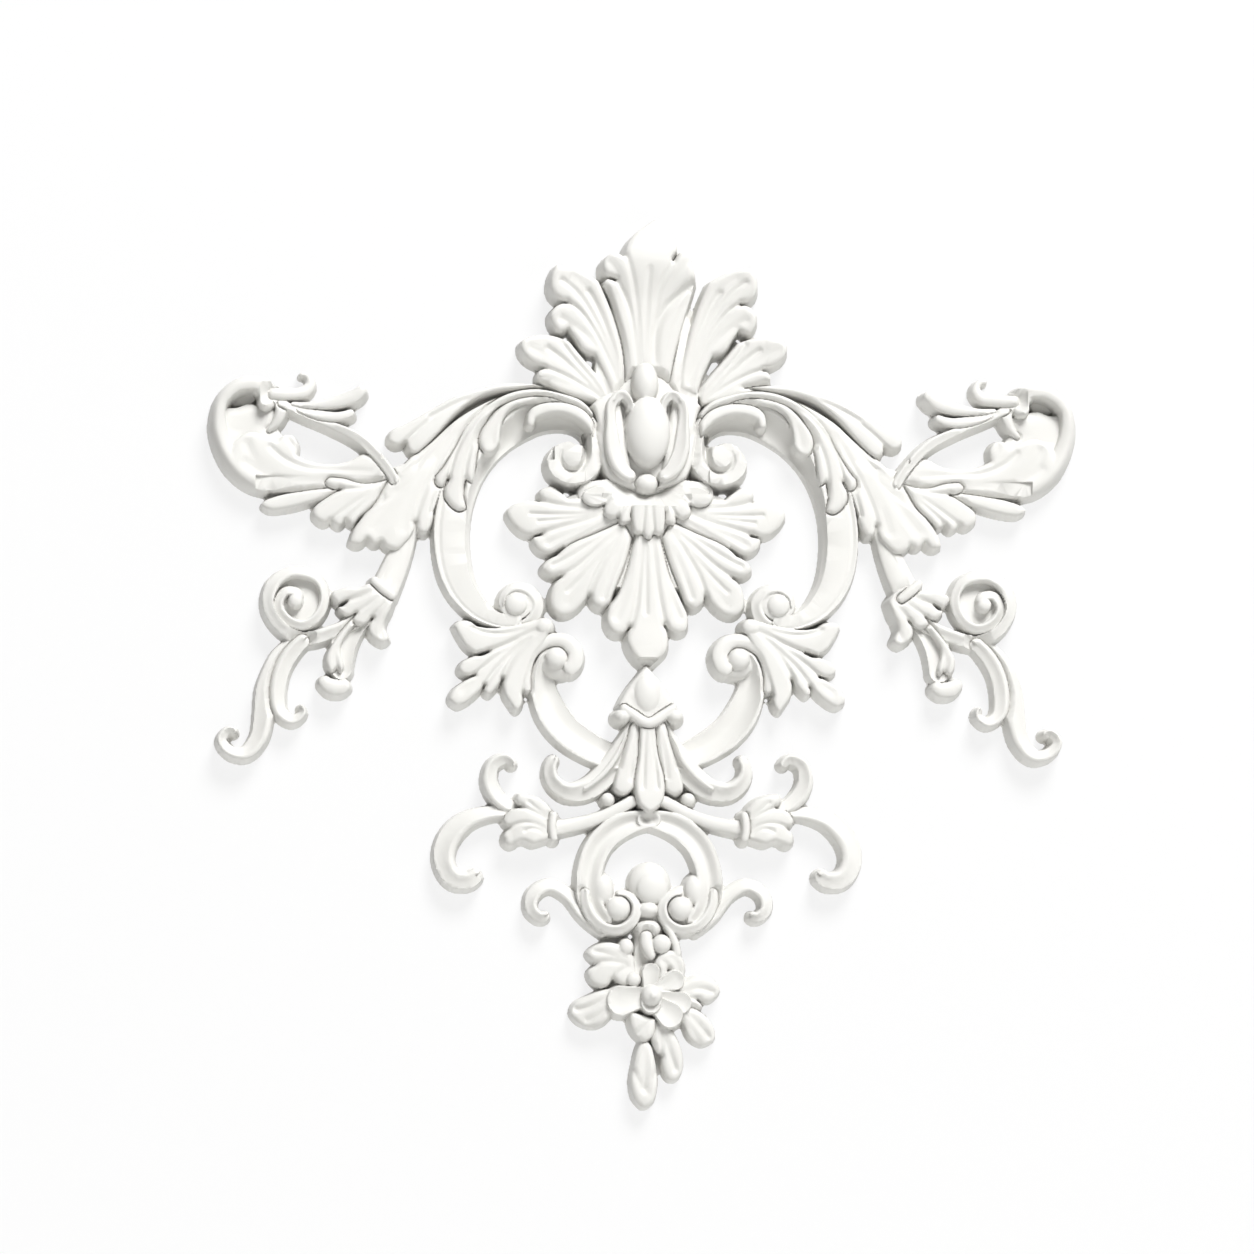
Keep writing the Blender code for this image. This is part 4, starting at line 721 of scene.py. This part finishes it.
side.leaf(
    [
        [(-60, 28), (-80, 36), (-104, 35), (-115, 29), (-119, 20)],
        [(-118, 11), (-112, 10), (-108, 18)],
        [(-98, 22), (-86, 23), (-72, 19), (-60, 10), (-52, 0)],
        [(-50, 14)],
    ],
    [(-54, 12), (-80, 29), (-114, 20)],
    (38, 38, 36),
    pillow=5, over=5,
)

# The drops at the sides. A stem hangs from each wing and ends in a collar and a bell flower, beside
# a rolled volute and two tails that curl at their ends.
stem = Motif((-1, -3), lift=5)
stem.stroke([(-234, -88), (-246, -122), (-260, -155)], (9, 13, 15), (19, 21, 24), tube, 6, tip=False)
side = Motif((8, -3), axis=-5, lift=7)
side.stroke([(-354, -168), (-355, -167)], (30, 30), (12, 12), pad, 1, tail=True)
side.stroke(
    [(-298, -186), (-322, -197), (-347, -203), (-370, -192), (-383, -170), (-378, -148), (-359, -137),
     (-336, -143), (-328, -162), (-335, -181), (-350, -190), (-366, -184), (-374, -170), (-367, -157),
     (-356, -158), (-354, -167)],
    (8, 8, 8, 8, 8, 8, 8, 7, 7, 6, 6, 6, 6, 6, 6, 6),
    (20, 21, 22, 23, 24, 25, 25, 24, 23, 21, 20, 20, 21, 22, 23, 24),
    ridged, 4,
)
side.stroke(
    [(-355, -206), (-373, -222), (-385, -250), (-388, -278), (-393, -302), (-406, -317), (-421, -315),
     (-429, -304), (-422, -295), (-414, -299)],
    (8, 10, 10, 11, 11, 10, 9, 7, 6, 5), (19, 19, 20, 20, 20, 20, 20, 21, 22, 22), turned_round(ridged), 5,
)
side.stroke(
    [(-350, -206), (-368, -230), (-374, -256), (-371, -276), (-360, -284), (-350, -277), (-354, -269)],
    (8, 9, 9, 9, 8, 6, 4), (19, 18, 18, 18, 19, 20, 20), ridged, 5, over=3,
)
side.stroke(
    [(-292, -182), (-306, -200), (-311, -220), (-310, -244)], (12, 14, 13, 10), (18, 18, 18, 17), scoop, 5,
)
side.stroke(
    [(-331, -242), (-324, -250), (-313, -252), (-305, -246)], (6, 9, 9, 6), (21, 22, 22, 21), pad, 4,
    tail=True, over=3,
)
side.leaf(
    [
        [(-308, -190), (-320, -206), (-328, -222), (-326, -234)],
        [(-321, -238), (-316, -234)],
        [(-312, -238), (-308, -232), (-312, -214), (-304, -198), (-292, -186)],
        [(-296, -178)],
    ],
    [(-296, -182), (-316, -210), (-320, -236)],
    (23, 24, 22),
    [([(-316, -234), (-316, -214), (-302, -192)], 3, 2.5)],
    pillow=5, over=4,
)
side.leaf(
    [
        [(-280, -147), (-295, -152), (-308, -152), (-318, -155)],
        [(-318, -154)],
        [(-323, -162), (-314, -171), (-306, -166)],
        [(-316, -174), (-308, -182), (-298, -179)],
        [(-301, -187), (-291, -191), (-281, -183)],
        [(-286, -194), (-283, -202), (-271, -209), (-264, -204), (-268, -192), (-264, -180)],
        [(-261, -172), (-259, -164), (-262, -158)],
    ],
    [(-260, -156), (-275, -170), (-285, -185)],
    (29, 28, 25),
    [
        ([(-302, -165), (-288, -160), (-272, -150)], 3, 3),
        ([(-281, -183), (-272, -172), (-262, -160)], 3, 3),
        ([(-297, -178), (-282, -168), (-268, -156)], 2, 2),
        ([(-272, -200), (-268, -186), (-258, -168)], 3, 2),
    ],
    pillow=5, over=4,
)
side.ball(-357, -166, 7, 7, 25, 4)
stem.stroke([(-274, -143), (-262, -154), (-249, -164)], (5, 6, 5), (31, 32, 31), pad, 3, tail=True, over=4)

# The lower C scrolls, whose volutes face the middle, and the fan leaf that ties each one to the
# great scroll above it.
side = Motif((-2, -3))
side.stroke(
    [(-30, -320), (-58, -308), (-82, -290), (-97, -266), (-102, -244), (-98, -224)],
    (14, 16, 17, 17, 14, 10), (23, 24, 25, 26, 27, 29), turned_round(rimmed), (12, 12, 12, 12, 12, 10),
    tip=False,
)
side.ball(-86, -222, 20, 20, 28, 10)
side.stroke(
    [(-118, -252), (-118, -232), (-110, -214), (-95, -204), (-80, -205), (-70, -216), (-72, -229),
     (-82, -235)],
    (5, 6, 6, 7, 8, 9, 9, 8), (26, 27, 28, 29, 30, 31, 32, 32), pad, 3, over=4,
)
side.ball(-89, -222, 11, 11, 34, 8)
side.leaf(
    [
        [(-97, -185), (-107, -183), (-124, -187), (-150, -191), (-168, -189)],
        [(-176, -184), (-186, -184), (-192, -190)],
        [(-186, -202), (-178, -213), (-166, -219), (-156, -215)],
        [(-170, -219), (-183, -225), (-187, -234), (-181, -240), (-170, -239)],
        [(-182, -245), (-193, -254), (-196, -264), (-187, -271), (-172, -263), (-160, -249)],
        [(-161, -257), (-156, -260), (-149, -254), (-142, -242)],
        [(-142, -257), (-136, -268), (-129, -276), (-123, -270), (-122, -258)],
        [(-117, -242), (-110, -222), (-101, -208), (-94, -194)],
    ],
    [(-100, -192), (-125, -212), (-155, -235), (-190, -264)],
    (32, 30, 30, 29),
    [
        ([(-156, -215), (-138, -208), (-118, -198), (-104, -192)], 2.5, 4.5),
        ([(-160, -249), (-144, -228), (-124, -208), (-106, -195)], 2.5, 3.5),
        ([(-142, -242), (-132, -222), (-116, -204)], 3, 4.5),
        ([(-170, -239), (-152, -224), (-128, -206)], 2.5, 3.5),
        ([(-122, -258), (-116, -234), (-106, -208)], 2.5, 2.5),
        ([(-172, -192), (-150, -198), (-122, -193)], 2, 3),
        ([(-182, -254), (-158, -236), (-134, -214)], 4.5, 1.5),
    ],
    pillow=5,
)
side.ball(-101, -190, 9, 8, 34, 5)

# The side sprays under the husk. A stem leaves on each side and carries a small husk with carved
# scales, a hook that turns up and a tail that rolls under.
side = Motif((1, -3), lift=6)
side.stroke(
    [(-18, -364), (-52, -381), (-78, -388), (-98, -391)], (7, 7, 8, 9), (20, 20, 20, 21), tube, 5,
    tip=False,
)
side.stroke(
    [(-132, -372), (-150, -360), (-158, -343), (-154, -327), (-142, -322), (-134, -331)],
    (7, 9, 9, 8, 7, 5), (18, 19, 20, 21, 22, 22), turned_round(ridged), 5,
)
side.stroke(
    [(-132, -376), (-160, -376), (-184, -385), (-200, -404), (-203, -424), (-194, -440), (-178, -442),
     (-169, -432)],
    (7, 8, 10, 12, 12, 11, 10, 8), (19, 19, 20, 20, 20, 21, 22, 22), turned_round(ridged),
    (4, 6, 7, 7, 6, 5, 4, 4),
)
side.leaf(
    [
        [(-106, -362), (-120, -357), (-131, -356)],
        [(-134, -364), (-128, -370)],
        [(-140, -374), (-146, -384), (-140, -391)],
        [(-146, -400), (-138, -408), (-126, -405), (-116, -408), (-104, -405), (-94, -402)],
        [(-94, -376)],
    ],
    [(-96, -388), (-115, -384), (-140, -386)],
    (25, 28, 24),
    [
        ([(-128, -370), (-114, -376), (-100, -384)], 2, 3),
        ([(-140, -391), (-126, -386), (-112, -388), (-102, -394)], 2, 3),
        ([(-124, -394), (-114, -392), (-104, -398)], 2, 2.5),
        ([(-120, -366), (-110, -374), (-100, -380)], 2, 2),
    ],
    pillow=6, over=4,
)
side.ball(-138, -402, 7, 7, 24)
side.stroke([(-94, -374), (-97, -390), (-94, -406)], (5, 5, 5), (28, 29, 28), pad, 3, tail=True, over=4)

# The husk between the lower scrolls: a bud in a pointed hood, a rolled collar with a knob at each
# end, and drapes that fall from it and turn up at the sides.
middle = Motif((-2, -4), whole=True)
side = Motif((-2, -4))
side.stroke(
    [(-8, -286), (-20, -308), (-37, -332), (-58, -350), (-79, -353), (-93, -342), (-95, -328), (-88, -318)],
    (10, 12, 13, 13, 12, 10, 8, 6), (29, 27, 26, 26, 27, 28, 28, 28), ridged, 6,
)
side.stroke([(-16, -288), (-26, -312), (-43, -336), (-64, -352)], (3, 4, 4, 3), (31, 30, 29, 28), pad, 3)
side.ball(-38, -361, 7, 7, 25)
side.leaf(
    [
        [(-14, -284), (-20, -302), (-27, -325), (-32, -340), (-33, -352), (-24, -358),
         (-13, -352)],
        [(-4, -335), (-2, -284)],
    ],
    [(-6, -286), (-14, -315), (-24, -354)],
    (31, 31, 30),
    [([(-16, -340), (-13, -315), (-8, -292)], 3, 2.5), ([(-26, -330), (-19, -306), (-12, -288)], 2, 2.5)],
    pillow=5, over=4,
)
middle.leaf(
    [
        [(-9, -320), (-13, -345), (-12, -358), (-8, -368), (2, -376)],
        [(12, -370), (18, -358), (18, -340), (12, -315), (10, -284)],
        [(-8, -284)],
    ],
    [(2, -286), (3, -330), (3, -374)],
    (33, 33, 36),
    [([(-4, -350), (-3, -325), (-1, -295)], 2, 3), ([(10, -350), (8, -325), (5, -295)], 2, 3)],
    pillow=5, over=5,
)
middle.leaf(
    [
        [(-21, -253), (-9, -237), (0, -227), (10, -237), (22, -253), (30, -268)],
        [(16, -276), (1, -284), (-14, -276), (-29, -268)],
    ],
    [(1, -228), (1, -250), (1, -284)],
    (29, 31, 33),
    pillow=5, over=3,
)
middle.ball(1, -257, 14, 20, 37, 9)
middle.stroke(
    [(-26, -268), (-14, -277), (2, -286), (18, -277), (30, -268)],
    (5, 6, 6, 6, 5), (35, 36, 37, 36, 35), pad, 3, tail=True, over=4,
)
side.ball(-24, -279, 8, 7, 37)

# The oval ring. Its band has two rims and closes on two small volutes with a knot between them, a
# shell stands inside it, and a hook springs from each side.
side = Motif((-2, -3), lift=3)
side.stroke(
    [(-44, -492), (-62, -476), (-78, -456), (-96, -447), (-112, -456), (-114, -471), (-104, -479),
     (-98, -473)],
    (7, 8, 8, 8, 8, 8, 7, 6), (19, 19, 19, 20, 21, 22, 23, 23), turned_round(ridged), 5,
)
side.stroke(
    [(6, -382), (-24, -388), (-46, -406), (-57, -434), (-56, -462), (-44, -482)],
    (9, 13, 14, 14, 13, 10), (23, 23, 23, 24, 25, 25), two_rims, 5, tip=False,
)
side.ball(-34, -468, 21, 21, 20, 8)
side.stroke(
    [(-62, -454), (-58, -474), (-45, -488), (-28, -491), (-14, -482), (-11, -467), (-20, -456), (-32, -455)],
    (5, 6, 6, 6, 6, 6, 5, 4), (25, 26, 27, 27, 27, 27, 26, 26), turned_round(ridged), 4, over=3,
)
side.ball(-29, -470, 12, 12, 31, 9)
middle = Motif((-2, -3), whole=True)
middle.ball(3, -446, 21, 22, 26, 12)
middle.ball(5, -450, 16, 16, 30, 8)
side.ball(-43, -452, 10, 15, 27, 8)
middle.stroke([(2, -462), (2, -500), (2, -530)], (14, 15, 15), (17, 16, 15), pad, 3)
middle.ball(1, -471, 11, 8, 30)
middle.ball(1, -490, 13, 9, 30)

# The flower spray that ends the ornament: an open flower with cupped petals, among leaves that
# spread from behind it and hang below it.
spray = Motif((-2, -3), whole=True, lift=5)
spray.stroke([(0, -500), (4, -530), (2, -575)], (14, 20, 22), (12, 11, 11), pad, 2, tail=True)
spray_leaves = (
    (
        [
            [(-22, -507), (-38, -502), (-52, -505), (-61, -514), (-52, -525)],
            [(-60, -533), (-55, -545), (-44, -549), (-34, -541)],
            [(-22, -547), (-10, -537)],
            [(-12, -518)],
        ],
        [(-10, -528), (-30, -525), (-56, -528)], (20, 21, 18),
        [
            ([(-52, -525), (-38, -522), (-20, -526)], 3, 3),
            ([(-34, -541), (-28, -532), (-16, -528)], 3, 3),
            ([(-52, -512), (-42, -514), (-30, -518)], 2.5, 2),
        ],
    ),
    (
        [
            [(14, -512), (28, -511), (38, -523), (37, -536), (30, -545)],
            [(26, -538), (21, -531)],
            [(18, -540), (12, -545)],
            [(7, -536), (6, -524)],
        ],
        [(8, -532), (22, -522), (34, -532)], (22, 22, 19),
        [([(21, -531), (18, -524), (12, -520)], 2.5, 2.5), ([(32, -532), (28, -522), (20, -518)], 3, 2)],
    ),
    (
        [
            [(-44, -549), (-60, -555), (-73, -562), (-77, -573), (-68, -584), (-52, -588),
             (-40, -582), (-33, -570)],
            [(-26, -548)],
        ],
        [(-28, -556), (-48, -562), (-66, -574)], (22, 21, 17),
        [([(-70, -569), (-54, -565), (-38, -554)], 3, 3), ([(-60, -580), (-48, -574), (-38, -566)], 3, 2)],
    ),
    (
        [
            [(36, -541), (51, -535), (67, -540), (73, -551), (62, -563), (50, -560)],
            [(55, -567), (46, -572), (37, -566)],
            [(28, -552)],
        ],
        [(32, -555), (50, -548), (68, -552)], (20, 21, 17),
        [([(64, -552), (48, -549), (36, -554)], 3, 2.5), ([(50, -560), (42, -558), (34, -558)], 2.5, 2.5)],
    ),
    (
        [
            [(42, -567), (56, -573), (67, -588), (67, -599), (54, -606), (42, -600), (36, -588)],
            [(28, -572)],
        ],
        [(34, -574), (48, -584), (60, -598)], (21, 20, 17),
        [([(60, -596), (49, -583), (40, -574)], 3, 3), ([(50, -600), (42, -588), (36, -580)], 3, 2)],
    ),
    (
        [
            [(2, -596), (6, -609), (13, -615)],
            [(13, -627), (19, -639), (28, -640), (35, -629), (35, -612), (29, -596), (20, -582)],
            [(6, -580)],
        ],
        [(12, -586), (20, -606), (27, -634)], (21, 20, 17),
        [([(27, -628), (20, -608), (14, -590)], 3, 3), ([(13, -615), (13, -602), (11, -590)], 2.5, 2.5)],
    ),
    (
        [
            [(-11, -606), (-15, -622), (-18, -640), (-15, -657), (-5, -667), (5, -662),
             (10, -646), (9, -625), (5, -606)],
            [(-4, -592)],
        ],
        [(-4, -598), (-4, -630), (-4, -664)], (20, 20, 17),
        [
            ([(-14, -630), (-4, -648), (2, -652)], 3, 2.5),
            ([(8, -630), (0, -646), (-4, -650)], 3, 2.5),
            ([(-4, -646), (-3, -625), (-3, -606)], 4, 2.5),
        ],
    ),
    (
        [
            [(-19, -584), (-13, -596), (-4, -602), (5, -596), (8, -578)],
            [(-18, -570)],
        ],
        [(-5, -572), (-5, -600)], (25, 24),
        [([(-10, -592), (-2, -584), (4, -576)], 3, 2.5)],
    ),
)
for outline, spine, heights, veins in spray_leaves:
    spray.leaf(outline, spine, heights, veins, over=2)
spray.stroke([(19, -488), (27, -503), (30, -519)], (4, 5, 5), (22, 22, 21), pad, 3)
spray.stroke([(-1, -498), (0, -508), (6, -520)], (7, 7, 5), (23, 24, 22), pad, 4, over=3)
spray.ball(-21, -508, 7, 8, 24, 5)
spray.ball(14, -505, 9, 9, 27, 6)
spray.ball(-14, -540, 7, 7, 25, 5)
spray_petals = (
    ([(2, -550), (3, -533)], (8, 10), (24, 24)),
    ([(6, -552), (26, -541)], (7, 11), (25, 26)),
    ([(2, -556), (-26, -561)], (9, 16), (26, 27)),
    ([(6, -558), (32, -563)], (8, 12), (25, 26)),
    ([(3, -560), (21, -575)], (8, 14), (27, 28)),
)
for path, widths, heights in spray_petals:
    spray.stroke(path, widths, heights, scoop, 4, tip=False, over=3)
spray.stroke([(3, -554), (2, -572)], (11, 11), (31, 30), scoop, 5, tail=True, over=4)
spray.ball(3, -556, 10, 10, 36, 8)
spray.ball(4, -557, 4, 4, 38)

clay.fill_crevices()

# The casting: plaster poured in the mould that was taken from the clay, with the flat back that it
# gets from being struck off level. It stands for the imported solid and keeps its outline.
TRIANGLES = 186000  # facets of the front before it is cut off at the wall
CREASE = 50  # degrees between two facets from which the edge between them is drawn sharp


def cast_front(front):
    """The grid of the front as a mesh, without what lies behind the wall plane."""
    rows, columns = front.high.shape
    x, z = np.meshgrid(front.x, front.z)
    points = np.stack([x * MODULE, -front.high * RISE, z * MODULE], axis=-1).reshape(-1, 3)
    index = np.arange(rows * columns).reshape(rows, columns)
    corners = (index[:-1, :-1], index[:-1, 1:], index[1:, 1:], index[1:, :-1])
    quads = np.stack(corners, axis=-1).reshape(-1, 4)
    quads = quads[(front.high.ravel()[quads] > 0.01 - SUNK).any(axis=1)]
    used, corners = np.unique(quads, return_inverse=True)
    mesh = bpy.data.meshes.new("casting")
    mesh.vertices.add(len(used))
    mesh.vertices.foreach_set("co", points[used].astype(np.float32).ravel())
    mesh.loops.add(len(quads) * 4)
    mesh.loops.foreach_set("vertex_index", corners.ravel().astype(np.int32))
    mesh.polygons.add(len(quads))
    mesh.polygons.foreach_set("loop_start", np.arange(len(quads), dtype=np.int32) * 4)
    mesh.update(calc_edges=True)
    return mesh


def keep_largest(made):
    """Deletes all but the largest connected piece."""
    left = set(made.verts)
    pieces = []
    while left:
        piece = {left.pop()}
        todo = list(piece)
        while todo:
            for edge in todo.pop().link_edges:
                fresh = set(edge.verts) & left
                left -= fresh
                piece |= fresh
                todo.extend(fresh)
        pieces.append(piece)
    largest = max(pieces, key=len)
    bmesh.ops.delete(made, geom=[v for v in made.verts if v not in largest], context="VERTS")


def close_back(made):
    """Cuts the mesh at the wall plane, in triangles so that no bent facet is cut wrong, and lays a
    flat back inside the rim of the cut, with the holes left open: a triangle of it is kept where a
    line to one side of it crosses the rim an odd number of times."""
    bmesh.ops.triangulate(made, faces=made.faces[:])
    geometry = made.verts[:] + made.edges[:] + made.faces[:]
    bmesh.ops.bisect_plane(
        made, geom=geometry, plane_co=(0, 0, 0), plane_no=(0, 1, 0), clear_outer=True, dist=1e-7
    )
    rim = [e for e in made.edges if e.is_boundary]
    corners = list({v for edge in rim for v in edge.verts})
    number = {v: k for k, v in enumerate(corners)}
    flat = [v.co.xz for v in corners]
    ends = [[number[v] for v in edge.verts] for edge in rim]
    places, _, faces, _, _, _ = delaunay_2d_cdt(flat, ends, [], 1, 1e-9)
    places = np.array([place[:] for place in places])
    middle = places[np.array(faces)].mean(axis=1)
    inside = np.zeros(len(faces), bool)
    for a, b in places[np.array(ends)]:
        level = (a[1] > middle[:, 1]) != (b[1] > middle[:, 1])
        slope = (b[0] - a[0]) / (b[1] - a[1] or 1)
        inside ^= level & (middle[:, 0] > a[0] + (middle[:, 1] - a[1]) * slope)
    for face in np.array(faces)[inside]:
        made.faces.new([corners[k] for k in face])
    bmesh.ops.triangulate(made, faces=made.faces[:])
    bmesh.ops.recalc_face_normals(made, faces=made.faces[:])


rough = bpy.data.objects.new("rough_casting", cast_front(clay))
bpy.context.scene.collection.objects.link(rough)
thin = rough.modifiers.new("thin", "DECIMATE")
thin.ratio = TRIANGLES / (2 * len(rough.data.polygons))
thinned = bpy.data.meshes.new_from_object(rough.evaluated_get(bpy.context.evaluated_depsgraph_get()))
bpy.data.objects.remove(rough)
solid = bmesh.new()
solid.from_mesh(thinned)
keep_largest(solid)
close_back(solid)
solid.to_mesh(thinned)
solid.free()
casting = bpy.data.objects.new("ornament_casting", thinned)
bpy.context.scene.collection.objects.link(casting)
casting.data.shade_smooth()
casting.data.set_sharp_from_angle(angle=math.radians(CREASE))


def linear(hex_colour):
    """An sRGB hex colour as linear red, green, blue and alpha."""
    parts = [int(hex_colour[i : i + 2], 16) / 255 for i in (1, 3, 5)]
    return [c / 12.92 if c <= 0.04045 else ((c + 0.055) / 1.055) ** 2.4 for c in parts] + [1.0]


def add_node(tree, kind, settings=None, inputs=None):
    """Adds a node. Settings are its properties, and inputs its values or the sockets linked in."""
    node = tree.nodes.new(kind)
    for name, value in (settings or {}).items():
        setattr(node, name, value)
    for name, value in (inputs or {}).items():
        if isinstance(value, bpy.types.NodeSocket):
            tree.links.new(value, node.inputs[name])
        else:
            node.inputs[name].default_value = value
    return node


# Gypsum plaster, sanded and primed with a white matt paint. It is a slightly warm white that varies
# faintly in soft clouds a few centimetres wide, with a fine skin from the brush.
def primed_plaster():
    made = bpy.data.materials.new("primed_plaster")
    made.use_nodes = True
    tree = made.node_tree
    tree.nodes.clear()
    place = add_node(tree, "ShaderNodeTexCoord").outputs["Object"]
    cloud = add_node(tree, "ShaderNodeTexNoise", inputs={"Vector": place, "Scale": 1 / 0.060, "Detail": 3.0})
    skin = add_node(tree, "ShaderNodeTexNoise", inputs={"Vector": place, "Scale": 1 / 0.0022, "Detail": 2.0})
    tint = add_node(
        tree, "ShaderNodeMix", {"data_type": "RGBA"},
        {"Factor": cloud.outputs["Fac"], "A": linear("#D0CFCB"), "B": linear("#D3D2CF")},
    )
    gloss = add_node(
        tree, "ShaderNodeMapRange",
        inputs={"Value": skin.outputs["Fac"], "To Min": 0.50, "To Max": 0.62},
    )
    bump = add_node(
        tree, "ShaderNodeBump",
        inputs={"Height": skin.outputs["Fac"], "Strength": 0.10, "Distance": 0.0002},
    )
    shader = add_node(
        tree, "ShaderNodeBsdfPrincipled",
        inputs={
            "Base Color": tint.outputs["Result"], "Roughness": gloss.outputs["Result"],
            "Normal": bump.outputs["Normal"], "IOR": 1.5, "Specular IOR Level": 0.35,
        },
    )
    add_node(tree, "ShaderNodeOutputMaterial", inputs={"Surface": shader.outputs["BSDF"]})
    return made


casting.data.materials.append(primed_plaster())
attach(casting, "root")
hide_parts("applique_casting")

# The studio: a backlit white panel just behind the casting, which is only seen from the front and
# leaves faint shadows, and a pale floor under the ornament, below the main view.
WALL_GAP = 0.0005  # from the flat back to the panel
FLOOR = -1.2  # height of the floor
GLOW = 0.82  # light that the panel gives by itself, where 1 is white


def card(name, size, place, turn, paint):
    bpy.ops.mesh.primitive_plane_add(size=size, location=place, rotation=turn)
    made = bpy.context.object
    made.name = name
    made.data.materials.append(paint)


# Opal acrylic, lit from behind.
def backlit_panel():
    made = bpy.data.materials.new("opal_panel")
    made.use_nodes = True
    tree = made.node_tree
    tree.nodes.clear()
    front = add_node(
        tree, "ShaderNodeBsdfPrincipled",
        inputs={
            "Base Color": linear("#626262"), "Roughness": 1.0, "Specular IOR Level": 0.0,
            "Emission Color": linear("#FFFFFF"), "Emission Strength": GLOW,
        },
    )
    back = add_node(tree, "ShaderNodeNewGeometry").outputs["Backfacing"]
    clear = add_node(tree, "ShaderNodeBsdfTransparent")
    mix = add_node(tree, "ShaderNodeMixShader", inputs={"Fac": back})
    tree.links.new(front.outputs["BSDF"], mix.inputs[1])
    tree.links.new(clear.outputs["BSDF"], mix.inputs[2])
    add_node(tree, "ShaderNodeOutputMaterial", inputs={"Surface": mix.outputs["Shader"]})
    return made


# Matt emulsion on a board.
def pale_board():
    made = bpy.data.materials.new("pale_board")
    made.use_nodes = True
    shader = made.node_tree.nodes["Principled BSDF"]
    shader.inputs["Base Color"].default_value = linear("#E8E8E6")
    shader.inputs["Roughness"].default_value = 0.9
    return made


card("wall", 6, (0, WALL_GAP, 0), (math.pi / 2, 0, 0), backlit_panel())
card("floor", 8, (0, 0, FLOOR), (0, 0, 0), pale_board())

# The light: a wide soft key lamp from the upper right, a weak fill from the left, a lamp behind the
# panel that lights the flat back, and a dim even room around them.
LIT = Vector((0, 0, -0.1))  # where the lamps point
ROOM = 0.09  # strength of the room's light
LAMPS = (
    ("key", (1.4, -3.9, 4.1), 2.3, 540),
    ("fill", (-2.4, -4.0, 0.6), 3.0, 5),
    ("back", (1.4, 2.4, 1.6), 2.0, 30),
)
for name, place, size, power in LAMPS:
    lamp = bpy.data.objects.new(name, bpy.data.lights.new(name, "AREA"))
    lamp.data.energy = power
    lamp.data.size = size
    lamp.location = place
    lamp.rotation_euler = (LIT - lamp.location).to_track_quat("-Z", "Y").to_euler()
    bpy.context.scene.collection.objects.link(lamp)
world = bpy.data.worlds.new("room")
world.use_nodes = True
world.node_tree.nodes["Background"].inputs["Color"].default_value = linear("#FFFFFF")
world.node_tree.nodes["Background"].inputs["Strength"].default_value = ROOM
bpy.context.scene.world = world
bpy.context.scene.view_settings.view_transform = "Standard"

# The camera stands a little to the left of the ornament and below it, far off, as the photograph's.
YAW = -5.0
PITCH = -8.0
ROLL = -0.35
DISTANCE = 3.2
AIM = Vector((-0.0125, 0, -0.1299))
LENS = 134.3
SENSOR = 36
yaw = math.radians(YAW)
pitch = math.radians(PITCH)
toward = Vector((math.sin(yaw) * math.cos(pitch), -math.cos(yaw) * math.cos(pitch), math.sin(pitch)))
camera = bpy.data.objects.new("camera", bpy.data.cameras.new("camera"))
camera.location = AIM + toward * DISTANCE
camera.rotation_mode = "QUATERNION"
camera.rotation_quaternion = (-toward).to_track_quat("-Z", "Y") @ Quaternion((0, 0, 1), math.radians(ROLL))
camera.data.lens = LENS
camera.data.sensor_width = SENSOR
bpy.context.scene.collection.objects.link(camera)
bpy.context.scene.camera = camera
